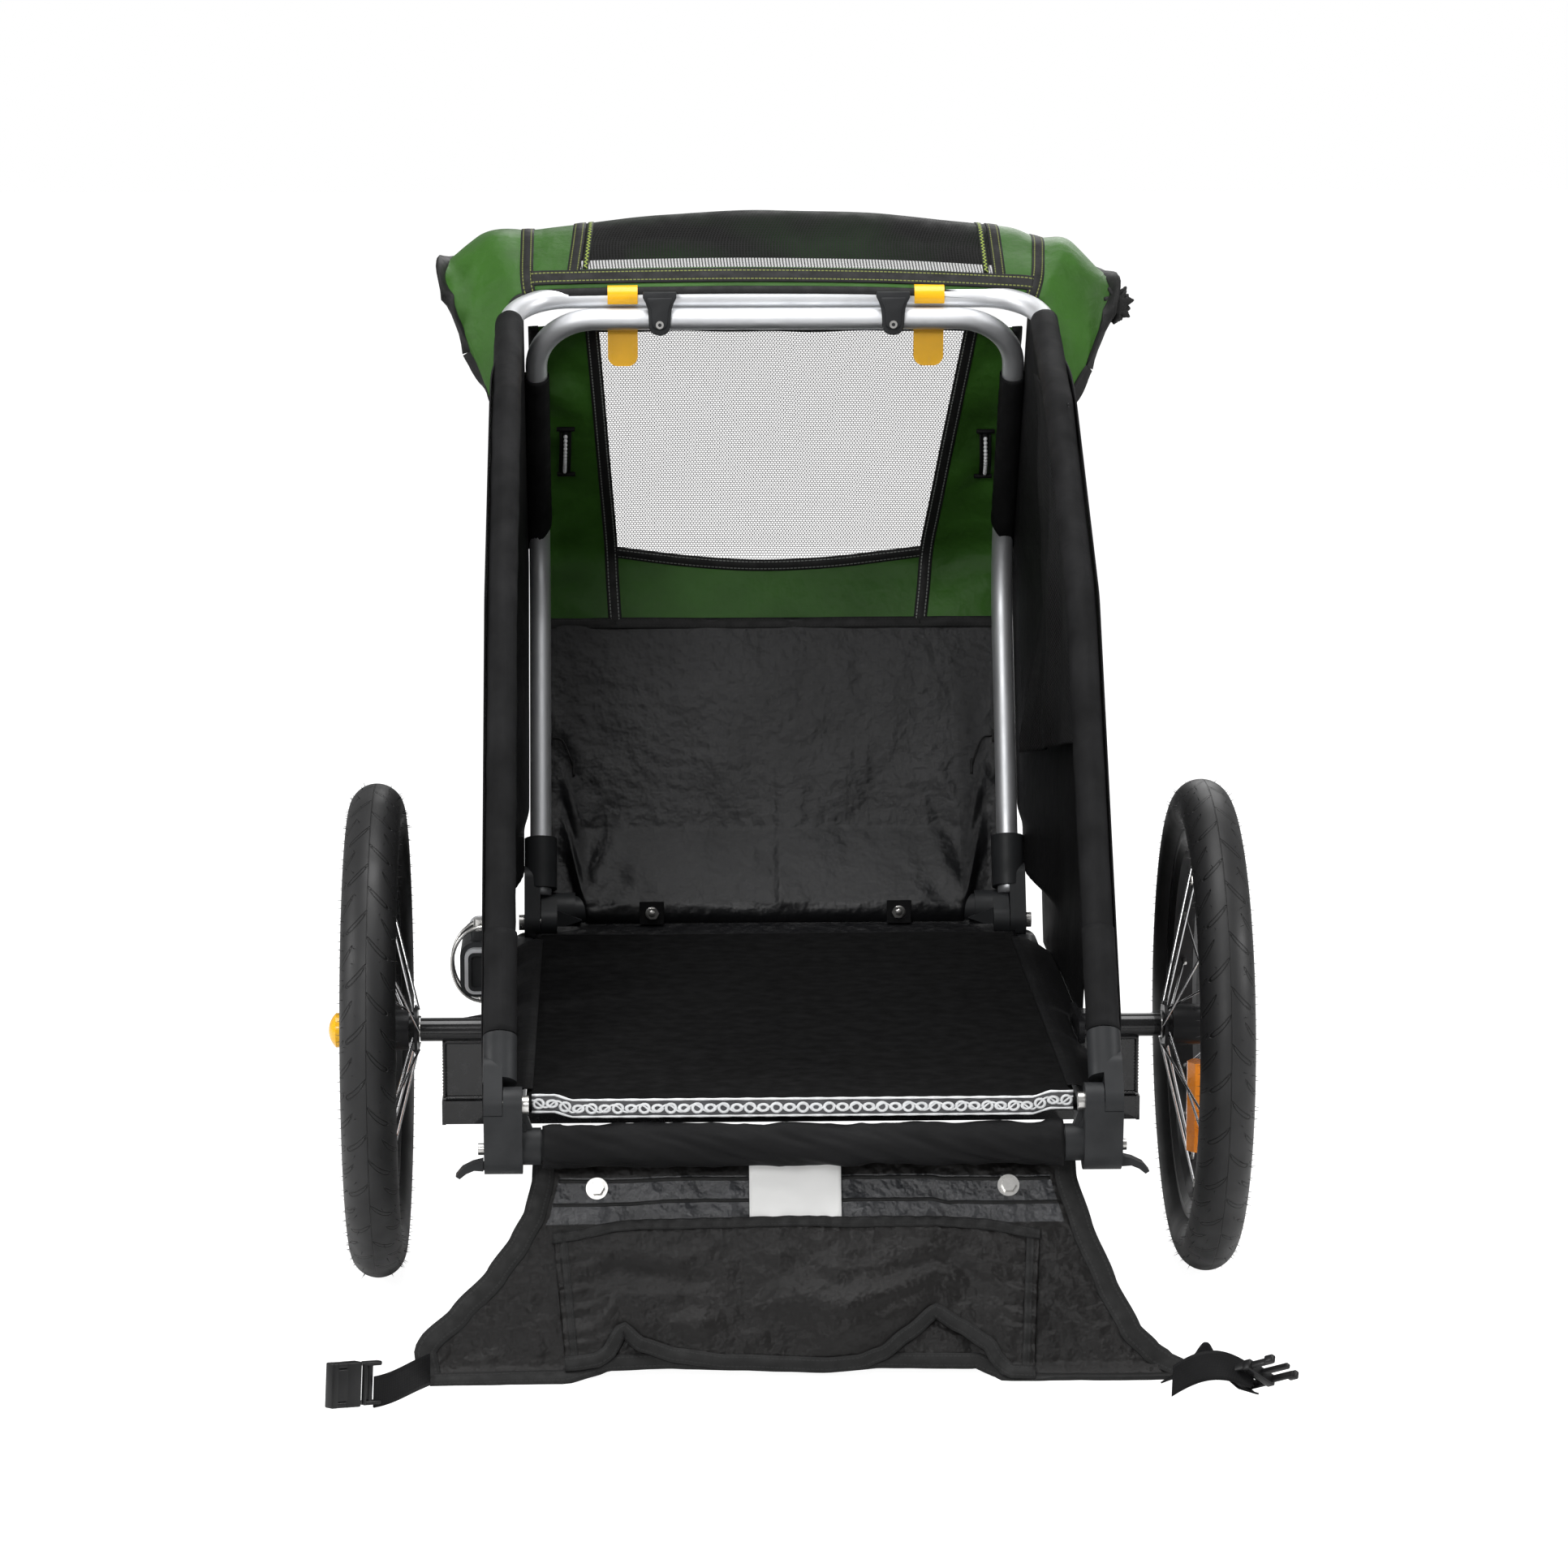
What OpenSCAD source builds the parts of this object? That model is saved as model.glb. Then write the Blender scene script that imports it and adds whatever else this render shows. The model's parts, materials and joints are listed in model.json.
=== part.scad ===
// Two-wheeled folding bicycle trailer for pets and cargo.
// X is the trailer's right, Y is forward, Z is up, and the ground is Z = 0. Millimetres.

/* [Wheels] */
// Bead seat diameter of the rim
bead_d = 305; // [301:1:309]
// Height of the tyre above the bead seat
tyre_h = 47.5; // [46:0.5:49]
// Width of the tyre
tyre_w = 44.5; // [40:0.5:47]
// Wall of the tyre
tyre_wall = 3; // [2.4:0.1:3.6]
// Outside width of the rim
rim_w = 25; // [22:0.5:28]
// Depth of the rim below the bead seat
rim_depth = 8; // [7:0.5:10]
// Height of the rim's flanges above the bead seat
rim_lip = 5; // [4:0.5:5.5]
// Wall of the rim
rim_wall = 1.8; // [1.4:0.1:2.4]
// Distance from the middle of the trailer to the middle of a tyre
wheel_x = 334; // [328:1:340]
// Pairs of crossed spokes on each hub flange
spoke_pairs = 5; // [4:1:6]
// Diameter of a spoke
spoke_d = 2; // [1.8:0.1:2.3]
// Diameter of the hub shell
hub_d = 22; // [21:0.5:25]
// Diameter of the spoke flanges
flange_d = 40; // [36:1:44]
// Thickness of a spoke flange
flange_t = 2.5; // [2:0.1:3]
// Diameter of the stub axle
axle_d = 12; // [11:0.5:13]
// Diameter of the wheel release button
button_d = 28; // [26:1:32]
// Travel of the wheel release button
button_travel = 4; // [3:0.5:4]
// Length of the spoke reflector
reflector_l = 74; // [64:1:78]

/* [Floor frame] */
// Outside diameter of the round side rails
rail_d = 19; // [17:0.5:20]
// Distance from the middle to a side rail
rail_x = 222; // [219:0.5:224]
// Wall of the frame tubes
tube_wall = 1.5; // [1.2:0.1:2]
// Outside diameter of the front and rear cross tubes
cross_d = 25.4; // [24:0.2:26]
// Size of the square axle cross tube
axle_tube = 19; // [18:0.5:20]
// Height of the web between the axle receiver and the axle cross tube
web_h = 48; // [42:1:54]
// Distance from the axle forward to the front hinges
front_base = 411; // [405:1:417]
// Distance from the axle back to the rear hinges
rear_base = 274; // [268:1:280]
// Width of a hinge knuckle
knuckle_w = 29; // [28:0.5:30]
// Diameter of the hinge pins
pin_d = 8; // [7:0.5:9]
// Thickness of the floor board
board_t = 4; // [3:0.5:5]
// Thickness of the floor mat
mat_t = 4; // [3:0.5:5]

/* [Hoops] */
// Outside diameter of the hoop tubes
hoop_d = 19; // [18:0.5:19.5]
// Distance from the middle to a rear hoop leg
rear_hoop_x = 230; // [229.5:0.5:231]
// Distance from the middle to a front hoop leg
front_hoop_x = 208.5; // [206:0.5:209]
// Length of the lowest stretch of a rear hoop leg
rear_leg = 430; // [424:1:436]
// Angle of that stretch above the floor
rear_leg_tilt = 54.1; // [53:0.1:55.5]
// Length of the middle stretch of a rear hoop leg
rear_rise = 256; // [248:1:264]
// Angle of that stretch
rear_rise_tilt = 31.6; // [30.5:0.1:32.5]
// Length of the lower stretch of a front hoop leg
front_leg = 330; // [325:1:335]
// Angle of that stretch above the floor
front_leg_tilt = 66.6; // [65.5:0.1:67.5]
// Length of the upper stretch of a front hoop leg
front_top = 282.5; // [278:0.5:287]
// Angle of that stretch
front_top_tilt = 123.75; // [123:0.25:124.5]
// Bend radius of the hoop corners
corner_r = 52; // [44:1:60]
// Bend radius of the leg bends
leg_bend_r = 110; // [90:5:130]
// Outside diameter of the hoop sleeves
sleeve_d = 22.4; // [21.8:0.1:22.6]
// Outside diameter of the cuffs at the foot of the sleeves
cuff_d = 26; // [25:0.5:27]
// Length of a cuff
cuff_l = 86; // [70:1:100]

/* [Cabin] */
// Thickness of the fabric walls
wall_t = 1.5; // [1.2:0.1:2]
// Thickness of the front panel
panel_t = 3; // [2:0.5:4]
// Thickness of the thrown-back cover
cover_t = 4; // [3:0.5:5]
// Height of the cover's crest above the rear crossbar
cover_rise = 62; // [58:1:66]
// Half width of the cover at its widest
cover_x = 292; // [284:1:298]
// How far the cover reaches forward of the rear crossbar
cover_reach = 225; // [215:1:235]
// How far the cover's wings reach back of the rear crossbar
wing_back = 150; // [130:5:160]

/* [Gate] */
// Length of the hanging rear gate
gate_l = 176; // [172:1:178]
// Width of the gate at its hinge
gate_top_w = 393; // [380:1:400]
// Width of the gate at its lower edge
gate_foot_w = 550; // [530:2:556]
// Thickness of the gate
gate_t = 3; // [2.5:0.5:3.5]
// Width of the gate straps
strap_w = 25; // [20:1:28]
// Length of the gate straps
strap_l = 78; // [60:1:84]
// Length of a strap buckle
buckle_l = 40; // [34:1:44]

/* [Latches] */
// Distance from the middle to a latch
latch_x = 133; // [128:1:138]
// Width of a latch
latch_w = 26; // [22:1:28]
// Length of the latch below the rear crossbar
latch_drop = 60; // [54:1:62]
// Distance from the middle to a saddle
saddle_x = 100; // [96:1:103]

/* [Tow receiver] */
// Width of the tow receiver tube
receiver_w = 28; // [26:1:30]
// Height of the tow receiver tube
receiver_h = 38; // [35:1:40]
// Wall of the tow receiver tube
receiver_wall = 3; // [2.5:0.5:3.5]
// Length of the tow receiver tube
receiver_l = 140; // [130:2:150]
// Distance from the axle forward to the receiver's rear end
receiver_y = 100; // [96:1:104]
// Diameter of the tow pin holes
tow_hole_d = 8.2; // [7.6:0.2:8.8]

/* [Hidden] */
$fn = 64;

// Clearances: a sliding or turning fit, a seat within one body, and free space between bodies
run_gap = 0.05;
seat_gap = 0.02;
free_gap = 0.5;
// A little more than nothing, to carry a cut past a face
past = 1;

// Heights over the ground hang from the axle
axle_z = bead_d / 2 + tyre_h;
rear_pivot = [-rear_base, axle_z + 3];
front_pivot = [front_base, axle_z + 4];
rail_z = axle_z - 20;
rear_cross = rear_pivot + [12, -35];
front_cross = front_pivot + [13, 8];
board_z = rail_z + rail_d / 2 + free_gap;
mat_z = board_z + board_t;
floor_x = rail_x - 11;

// Hoop points in the side plane, as [forward, up]
function polar(length, angle) = length * [cos(angle), sin(angle)];
nose = front_pivot + polar(front_leg, front_leg_tilt);
front_bar = nose + polar(front_top, front_top_tilt);
bar_rest = 1.6;
rear_bar = front_bar + polar(hoop_d + bar_rest, 61);
rear_bend = rear_pivot + polar(rear_leg, rear_leg_tilt);
rear_shoulder = rear_bend + polar(rear_rise, rear_rise_tilt);

// Sideways places
cuff_r = cuff_d / 2 - 0.5;
wall_x = rear_hoop_x + max(sleeve_d / 2, cuff_r) + free_gap + 0.1;
lap_x = knuckle_w / 2;

// Straps lie on the ground and swing about the gate's corners
strap_t = 2;
strap_angle = 40;
buckle_w = strap_w + 9;
buckle_t = 10;
strap_x = gate_foot_w / 2 - strap_w / 2;
hem_r = 17.5;
gate_offset = hem_r + free_gap + gate_t;
gate_tilt = 245.3;
gate_plane = rear_cross + polar(gate_offset, gate_tilt + 90);
gate_foot = gate_plane + polar(gate_l, gate_tilt);
gate_toe = 14;
strap_y = gate_foot[0] - gate_toe;

// The origin is under the middle of the whole object
rear_reach = -strap_y + (strap_l + buckle_l) * sin(strap_angle) + buckle_w / 2 * cos(strap_angle);
front_reach = rear_bar[0] + cover_reach;
axle_y = (rear_reach - front_reach) / 2;

// ---- shared shapes ----

function unit(v) = v / norm(v);
function at_x(x, p) = [x, p[0], p[1]];

// Moves a piece drawn about the axle to its place over the origin
module placed() translate([0, axle_y, 0]) children();

// Draws a right-hand piece on the left
module on_side(left) placed() mirror([left ? 1 : 0, 0, 0]) children();

// Extrudes an outline of [forward, up] points sideways
module across(x0, x1) translate([x0, 0, 0]) rotate([90, 0, 90]) linear_extrude(x1 - x0) children();

// Extrudes an outline of [right, up] points forward
module along(y0, y1) translate([0, y1, 0]) rotate([90, 0, 0]) linear_extrude(y1 - y0) children();

// A round bar along X
module bar_x(x0, x1, p, r) translate([x0, p[0], p[1]]) rotate([0, 90, 0]) cylinder(r = r, h = x1 - x0);

// A round bar along Y
module bar_y(y0, y1, x, z, r) translate([x, y0, z]) rotate([-90, 0, 0]) cylinder(r = r, h = y1 - y0);

// A profile of [radius, distance along X] points turned about the wheel's axis
module turned() translate([0, 0, axle_z]) rotate([0, 90, 0]) rotate_extrude($fn = 96) children();

// A rounded bar between two circles, drawn flat
module link_2d(p, rp, q, rq) {
    way = atan2(q[1] - p[1], q[0] - p[0]);
    tangent = acos((rp - rq) / norm(q - p));
    translate(p) circle(rp);
    translate(q) circle(rq);
    polygon([
        p + polar(rp, way + tangent), q + polar(rq, way + tangent),
        q + polar(rq, way - tangent), p + polar(rp, way - tangent)
    ]);
}

// A rectangle with round corners, drawn flat about its middle
module round_rect(w, h, r) {
    square([w - 2 * r, h], center = true);
    square([w, h - 2 * r], center = true);
    for (x = [-1, 1], y = [-1, 1]) translate([x * (w / 2 - r), y * (h / 2 - r)]) circle(r);
}

// Bent tube: straight lengths joined by round bends at the inner points of its path
function bend_turn(path, i) = acos(unit(path[i] - path[i - 1]) * unit(path[i + 1] - path[i]));
function bend_run(path, bends, i) =
    i == 0 || i == len(path) - 1 ? 0 : bends[i - 1] * tan(bend_turn(path, i) / 2);
// A straight round rod between two points
module rod(p, q, r) {
    way = unit(q - p);
    translate(p) rotate([0, acos(way[2]), atan2(way[1], way[0])]) cylinder(r = r, h = norm(q - p));
}

// Sections along a bent tube, each as [middle, side, way]. A bend takes a section every bend_step degrees
bend_step = 9;
function bend_sections(start, side, way, toward, bend, turn) =
    let (axis = cross(way, toward), n = max(1, ceil(turn / bend_step)))
    [for (k = [0:n]) let (t = turn * k / n, out = cos(t) * toward - sin(t) * way)
        [start + bend * (toward - out), (side * toward) * out + (side * axis) * axis,
            cos(t) * way + sin(t) * toward]];
function tube_sections(path, bends, i, side) =
    let (way = unit(path[i + 1] - path[i]))
    i == len(path) - 2
        ? [[path[i + 1], side, way]]
        : let (
            next = unit(path[i + 2] - path[i + 1]),
            toward = unit(next - (next * way) * way),
            start = path[i + 1] - way * bend_run(path, bends, i + 1),
            arc = bend_sections(start, side, way, toward, bends[i], bend_turn(path, i + 1))
        ) concat(arc, tube_sections(path, bends, i + 1, arc[len(arc) - 1][1]));

// Bent tube or, with no bore, a bent rod, swept through its sections as one solid
module bent_tube(path, bends, r, r_in, sides = 20) {
    way = unit(path[1] - path[0]);
    side = unit(abs(way[0]) > 0.9 ? cross(way, [0, 0, 1]) : cross(way, [1, 0, 0]));
    sections = concat([[path[0], side, way]], tube_sections(path, bends, 0, side));
    count = len(sections);
    function circle_at(c, radius) = [for (k = [0:sides - 1]) let (a = 360 * k / sides)
        c[0] + radius * (cos(a) * c[1] + sin(a) * cross(c[2], c[1]))];
    function skin(first, flip) = [for (j = [0:count - 2], k = [0:sides - 1], half = [0, 1])
        let (a = first + j * sides, l = (k + 1) % sides, u = a + sides)
        flip ? (half == 0 ? [a + k, u + l, u + k] : [a + k, a + l, u + l])
             : (half == 0 ? [a + k, u + k, u + l] : [a + k, u + l, a + l])];
    outer = [for (c = sections) each circle_at(c, r)];
    last = (count - 1) * sides;
    if (r_in > 0) {
        bore = count * sides;
        polyhedron(
            concat(outer, [for (c = sections) each circle_at(c, r_in)]),
            concat(
                skin(0, false), skin(bore, true),
                [for (k = [0:sides - 1]) let (l = (k + 1) % sides) [k, l, bore + l, bore + k]],
                [for (k = [0:sides - 1]) let (l = (k + 1) % sides)
                    [last + l, last + k, bore + last + k, bore + last + l]]
            )
        );
    } else {
        polyhedron(outer, concat(
            skin(0, false), [[for (k = [0:sides - 1]) k]], [[for (k = [sides - 1:-1:0]) last + k]]
        ));
    }
}

// A hoop's path: up one leg, along the crossbar and down the other leg
function hoop_path(x, bar, leg) = concat(
    [for (k = [len(leg) - 1:-1:0]) at_x(x, leg[k])], [at_x(x, bar), at_x(-x, bar)], [for (p = leg) at_x(-x, p)]
);

// ---- wheels, drawn on the right ----

tyre_r = tyre_w / 2;
bead_r = bead_d / 2;
tyre_mid = bead_r + tyre_h - tyre_r;
bead_half = rim_w / 2 - rim_wall - seat_gap;
hub_in = wheel_x - 33;
hub_out = wheel_x + 19.5;
bearing_l = 8;
bearing_r = 9.5;
receiver_end = hub_in - 1;

// Round carcass whose side walls run down to two beads, which stand on the rim between its flanges
module tyre(left) color([0.08, 0.08, 0.09]) on_side(left) turned() translate([tyre_mid, wheel_x])
    difference() {
        union() {
            circle(tyre_r);
            translate([bead_r - tyre_mid, -bead_half]) square([tyre_mid - bead_r, 2 * bead_half]);
        }
        circle(tyre_r - tyre_wall);
        translate([-tyre_mid, tyre_wall - bead_half]) square([tyre_mid, 2 * (bead_half - tyre_wall)]);
        translate([-tyre_mid, -tyre_w]) square([bead_r + seat_gap, 2 * tyre_w]);
    }

module inner_tube(left) color([0.15, 0.15, 0.15]) on_side(left) turned() translate([tyre_mid, wheel_x])
    difference() {
        circle(tyre_r - tyre_wall - seat_gap - free_gap);
        circle(tyre_r - tyre_wall - 1.6);
    }

// Hollow double-wall rim, with a flange outside each of the tyre's beads
module rim(left) color([0.05, 0.05, 0.05]) on_side(left) turned() translate([0, wheel_x]) {
    floor_r = bead_r - rim_depth;
    side_r = bead_r - rim_depth / 4;
    floor_half = rim_w / 2 - rim_depth / 2;
    difference() {
        polygon([
            [floor_r, -floor_half], [floor_r, floor_half], [side_r, rim_w / 2], [bead_r + rim_lip, rim_w / 2],
            [bead_r + rim_lip, rim_w / 2 - rim_wall], [bead_r, rim_w / 2 - rim_wall],
            [bead_r, rim_wall - rim_w / 2], [bead_r + rim_lip, rim_wall - rim_w / 2],
            [bead_r + rim_lip, -rim_w / 2], [side_r, -rim_w / 2]
        ]);
        polygon([
            [floor_r + rim_wall, rim_wall - floor_half], [floor_r + rim_wall, floor_half - rim_wall],
            [bead_r - rim_wall, rim_w / 2 - 2 * rim_wall], [bead_r - rim_wall, 2 * rim_wall - rim_w / 2]
        ]);
    }
}

// Crossed spokes: each pair leaves one flange and crosses close to the hub
flanges = [hub_in + 1, wheel_x + 10];
spoke_foot = flange_d / 2 - 3;
spoke_end = bead_r - rim_depth - 0.4;
module spoke_rods(r) for (f = [0, 1], i = [0:spoke_pairs - 1], s = [-1, 1]) {
    middle = 360 / spoke_pairs * (i + f / 2);
    foot_x = flanges[f] + flange_t / 2 + s * (flange_t / 2 + spoke_d / 2 + 0.1);
    foot = at_x(foot_x, [0, axle_z] + polar(spoke_foot, middle - s * 25));
    tip = at_x(wheel_x + s, [0, axle_z] + polar(spoke_end, middle + s * 45 / spoke_pairs));
    rod(foot, tip, r);
}
module spokes(left) color([0.75, 0.75, 0.76]) on_side(left) spoke_rods(spoke_d / 2);

// Hub shell between its bearings, with flanges that are notched for the spokes
module hub(left) color([0.08, 0.08, 0.08]) on_side(left) {
    difference() {
        turned() {
            translate([bearing_r + seat_gap, hub_in]) square([hub_d / 2 - bearing_r - seat_gap, hub_out - hub_in]);
            for (x = flanges) translate([hub_d / 2 - past, x]) square([flange_d / 2 - hub_d / 2 + past, flange_t]);
            translate([axle_d / 2 + past, hub_in + bearing_l + seat_gap])
                square([bearing_r, hub_out - hub_in - 2 * bearing_l - 2 * seat_gap]);
        }
        spoke_rods(spoke_d / 2 + seat_gap);
    }
    for (x = [hub_in, hub_out - bearing_l]) turned() translate([axle_d / 2 + run_gap, x])
        square([bearing_r - axle_d / 2 - run_gap, bearing_l]);
}

// Two-faced reflector clipped between the spokes
reflector_w = 15;
module reflector(left) color([0.95, 0.45, 0.05]) on_side(left)
    translate([wheel_x - 4, 0, axle_z - spoke_foot - 14 - reflector_l])
        linear_extrude(reflector_l) polygon([
            [-reflector_w / 2, -2], [-2, -10], [2, -10], [reflector_w / 2, -2],
            [reflector_w / 2, 2], [2, 10], [-2, 10], [-reflector_w / 2, 2]
        ]);

// Stub axle that passes through the hub, with its end nut and the bore for the button's stem
stem_r = 1.4;
nut_r = 8;
nut_x = hub_out + 1;
nut_t = 4;
axle_root = receiver_end - 50;
module stub_axle(left) color([0.7, 0.7, 0.72]) on_side(left) difference() {
    union() {
        bar_x(axle_root, nut_x + nut_t, [0, axle_z], axle_d / 2);
        bar_x(nut_x, nut_x + nut_t, [0, axle_z], nut_r);
    }
    bar_x(wheel_x - 14, nut_x + nut_t + past, [0, axle_z], stem_r + run_gap);
}

// Domed push button with a skirt that passes over the axle's nut
dome_h = 6;
skirt_x = nut_x + nut_t + free_gap;
button_top = skirt_x + 15;
module button(left) color([0.95, 0.68, 0.05]) on_side(left) {
    dome_r = (pow(button_d / 2, 2) + pow(dome_h, 2)) / (2 * dome_h);
    turned() difference() {
        union() {
            translate([0, skirt_x]) square([button_d / 2, 15 - dome_h]);
            intersection() {
                translate([0, button_top - dome_r]) circle(dome_r, $fn = 120);
                translate([0, button_top - dome_h]) square([button_d / 2, dome_h]);
            }
        }
        translate([0, skirt_x - past]) square([nut_r + 1, button_travel + 2 + past]);
    }
    bar_x(wheel_x - 8, skirt_x + button_travel + 3, [0, axle_z], stem_r);
}

// ---- axle unit and floor frame ----

// Welded bracket: receiver tube, web, gusset and the plate that bolts to the rail
module axle_bracket(left) color([0.1, 0.1, 0.11]) on_side(left) {
    plate_x = rail_x + rail_d / 2 + free_gap;
    plate_t = 4.5;
    tube_r = 9.5;
    web_x = 280;
    web_foot = axle_z - tube_r - web_h;
    difference() {
        union() {
            bar_x(plate_x + plate_t - past, receiver_end, [0, axle_z], tube_r);
            along(-2.5, 2.5) polygon([
                [plate_x, web_foot], [web_x, web_foot], [web_x, axle_z], [plate_x, axle_z]
            ]);
            translate([0, 0, axle_z - 2]) linear_extrude(4)
                polygon([[plate_x, 0], [receiver_end - 2, 0], [receiver_end - 2, tube_r], [plate_x, 62]]);
            across(plate_x, plate_x + plate_t) link_2d([-14, axle_z - 4], 12, [56, axle_z - 4], 10);
            across(plate_x, plate_x + plate_t) polygon([
                [-20, axle_z - 10], [20, axle_z - 10], [12, web_foot], [-12, web_foot]
            ]);
        }
        bar_x(axle_root - past, receiver_end + past, [0, axle_z], axle_d / 2 + run_gap);
    }
}

// Square tube under the floor with its end caps
module axle_cross_tube() color([0.1, 0.1, 0.11]) placed() {
    top = axle_z - 9.5 - web_h;
    half = 280;
    difference() {
        translate([-half, -axle_tube / 2, top - axle_tube]) cube([2 * half, axle_tube, axle_tube]);
        translate([-half - past, -axle_tube / 2 + tube_wall, top - axle_tube + tube_wall])
            cube([2 * (half + past), axle_tube - 2 * tube_wall, axle_tube - 2 * tube_wall]);
    }
    for (s = [-1, 1]) translate([s * (half + 1.5), 0, top - axle_tube / 2])
        cube([3, axle_tube + 1, axle_tube + 1], center = true);
}

rail_back = rear_cross[0] - 4;
rail_front = front_pivot[0] + 8;
module side_rail(left) color([0.7, 0.7, 0.72]) on_side(left) difference() {
    bar_y(rail_back, rail_front, rail_x, rail_z, rail_d / 2);
    bar_y(rail_back - past, rail_front + past, rail_x, rail_z, rail_d / 2 - tube_wall);
}

module cross_tube(p, half, bolt_x = []) color([0.7, 0.7, 0.72]) placed() difference() {
    bar_x(-half, half, p, cross_d / 2);
    bar_x(-half - past, half + past, p, cross_d / 2 - tube_wall);
    for (s = [-1, 1], x = bolt_x) bar_y(p[0] - cross_d, p[0], s * x, p[1], bolt_d / 2 + seat_gap);
}

// Hinge parts: a knuckle keeps the inner half of the lap, and the hoop's socket has the outer half.
// Each cross tube ends in its knuckle's collar, short of the rail and of the front socket
hinge_r = 14;
hinge_free = hinge_r + 4;
front_free = hinge_free + 12;
rear_fold = 36.8;
boss_r = rail_d / 2 + 3;
rear_inner = rear_hoop_x - 2.5 - lap_x;
front_inner = front_hoop_x - lap_x;
rear_tube_end = min(rear_inner, rail_x - rail_d / 2) - 1;
front_tube_end = front_inner - 1;
front_pin_start = front_inner + 2;
bolt_d = 5.8;

module rear_knuckle(left) color([0.13, 0.13, 0.13]) on_side(left) difference() {
    union() {
        across(rear_inner, rear_inner + knuckle_w) difference() {
            link_2d(rear_pivot, hinge_r, rear_cross, 21);
            polygon([
                rear_pivot + [-40, 2], rear_pivot + [40, 2], rear_pivot + [40, 60], rear_pivot + [-40, 60]
            ]);
        }
        across(rear_inner, rear_inner + lap_x - 0.3) translate(rear_pivot) circle(hinge_r);
        bar_y(rear_cross[0] - 6, rear_cross[0] + 50, rail_x, rail_z, boss_r);
        bar_x(rear_inner - 14, rear_inner + past, rear_cross, cross_d / 2 + 1.5);
        along(rear_cross[0] - 4, rear_cross[0] + 4) polygon([
            [rear_inner - 12, rear_cross[1]], [rear_inner + 1, rear_cross[1]], [rear_inner + 1, rear_pivot[1] + 4]
        ]);
    }
    // Room for the hoop's half of the lap, from upright to folded
    across(rear_inner + lap_x - 0.01, rear_inner + knuckle_w + past) translate(rear_pivot) {
        under = polar(hinge_r + free_gap, rear_leg_tilt - rear_fold - 90);
        ahead = under + polar(4 * hinge_r, rear_leg_tilt - rear_fold);
        circle(hinge_r + free_gap);
        polygon([[0, 0], under, ahead, ahead + [0, 6 * hinge_r], [0, 6 * hinge_r]]);
    }
    bar_x(rear_inner - past, rear_inner + knuckle_w + past, rear_pivot, pin_d / 2 + run_gap);
    bar_y(rail_back - seat_gap, rear_cross[0] + 60, rail_x, rail_z, rail_d / 2 + seat_gap);
    bar_x(rear_inner - 20, rear_tube_end + seat_gap, rear_cross, cross_d / 2 + seat_gap);
    bar_x(rear_inner + 11, rear_inner + knuckle_w + past, plunger, plunger_r + run_gap);
}

module front_knuckle(left) color([0.13, 0.13, 0.13]) on_side(left) difference() {
    union() {
        across(front_inner, front_inner + knuckle_w) difference() {
            link_2d(front_pivot + [6, -10], hinge_r, front_cross, cross_d / 2 + 3);
            translate(front_pivot - [60, 0]) square([60 + hinge_r, 60]);
        }
        across(front_inner, front_inner + lap_x - 0.3) link_2d(front_pivot, hinge_r, front_cross, cross_d / 2 + 3);
        bar_x(front_inner - 16, front_inner + past, front_cross, cross_d / 2 + 3);
        bar_y(front_pivot[0] - 52, rail_front + 4, rail_x, rail_z, boss_r);
        along(front_pivot[0] - 4, front_pivot[0] + 4) polygon([
            [front_inner - 22, front_cross[1] - 6], [front_inner + 1, front_cross[1] - 14],
            [front_inner + 1, front_pivot[1] + 12]
        ]);
    }
    across(front_inner + lap_x - 0.01, front_inner + knuckle_w + 10) link_2d(
        front_pivot, hinge_r + free_gap, front_pivot + polar(2 * front_free, front_leg_tilt), hinge_r - 1 + free_gap
    );
    bar_x(front_pin_start - seat_gap, front_inner + knuckle_w + past, front_pivot, pin_d / 2 + run_gap);
    bar_y(front_pivot[0] - 60, rail_front + seat_gap, rail_x, rail_z, rail_d / 2 + seat_gap);
    bar_x(front_inner - 30, front_tube_end + seat_gap, front_cross, cross_d / 2 + seat_gap);
}

// Spring plunger with a hooked finger tab, pulled outwards to free the rear hinge
plunger = rear_cross + [0, -15];
plunger_r = 3.5;
module release_plunger(left) color([0.13, 0.13, 0.13]) on_side(left) {
    out = rear_inner + knuckle_w;
    bar_x(rear_inner + 14, out + 4, plunger, plunger_r);
    along(plunger[0] - 6, plunger[0] + 6) polygon([
        [out + 1, plunger[1] + 5], [out + 9, plunger[1] + 3], [out + 17, plunger[1] - 1], [out + 22, plunger[1] - 7],
        [out + 19, plunger[1] - 9], [out + 14, plunger[1] - 5], [out + 8, plunger[1] - 2.5], [out + 1, plunger[1] - 3]
    ]);
}

// Pins of the four hinges. The rear ones have their heads inside and the front ones outside
module pivot_pins() color([0.7, 0.7, 0.72]) for (left = [false, true]) on_side(left) {
    bar_x(rear_inner - 2, rear_inner + knuckle_w, rear_pivot, pin_d / 2);
    bar_x(rear_inner - 5, rear_inner - 0.1, rear_pivot, pin_d / 2 + 3);
    bar_x(front_pin_start, front_inner + knuckle_w + past, front_pivot, pin_d / 2);
    bar_x(front_inner + knuckle_w + 0.1, front_inner + knuckle_w + 5, front_pivot, pin_d / 2 + 3);
}

// Hex bolt with a washer, its head towards the rear
module washer_bolt(shank) {
    rotate([90, 0, 0]) {
        cylinder(d = 16.8, h = 1.4);
        cylinder(d = 11, h = 5.6, $fn = 6);
    }
    rotate([-90, 0, 0]) cylinder(d = bolt_d, h = shank);
}

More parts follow.
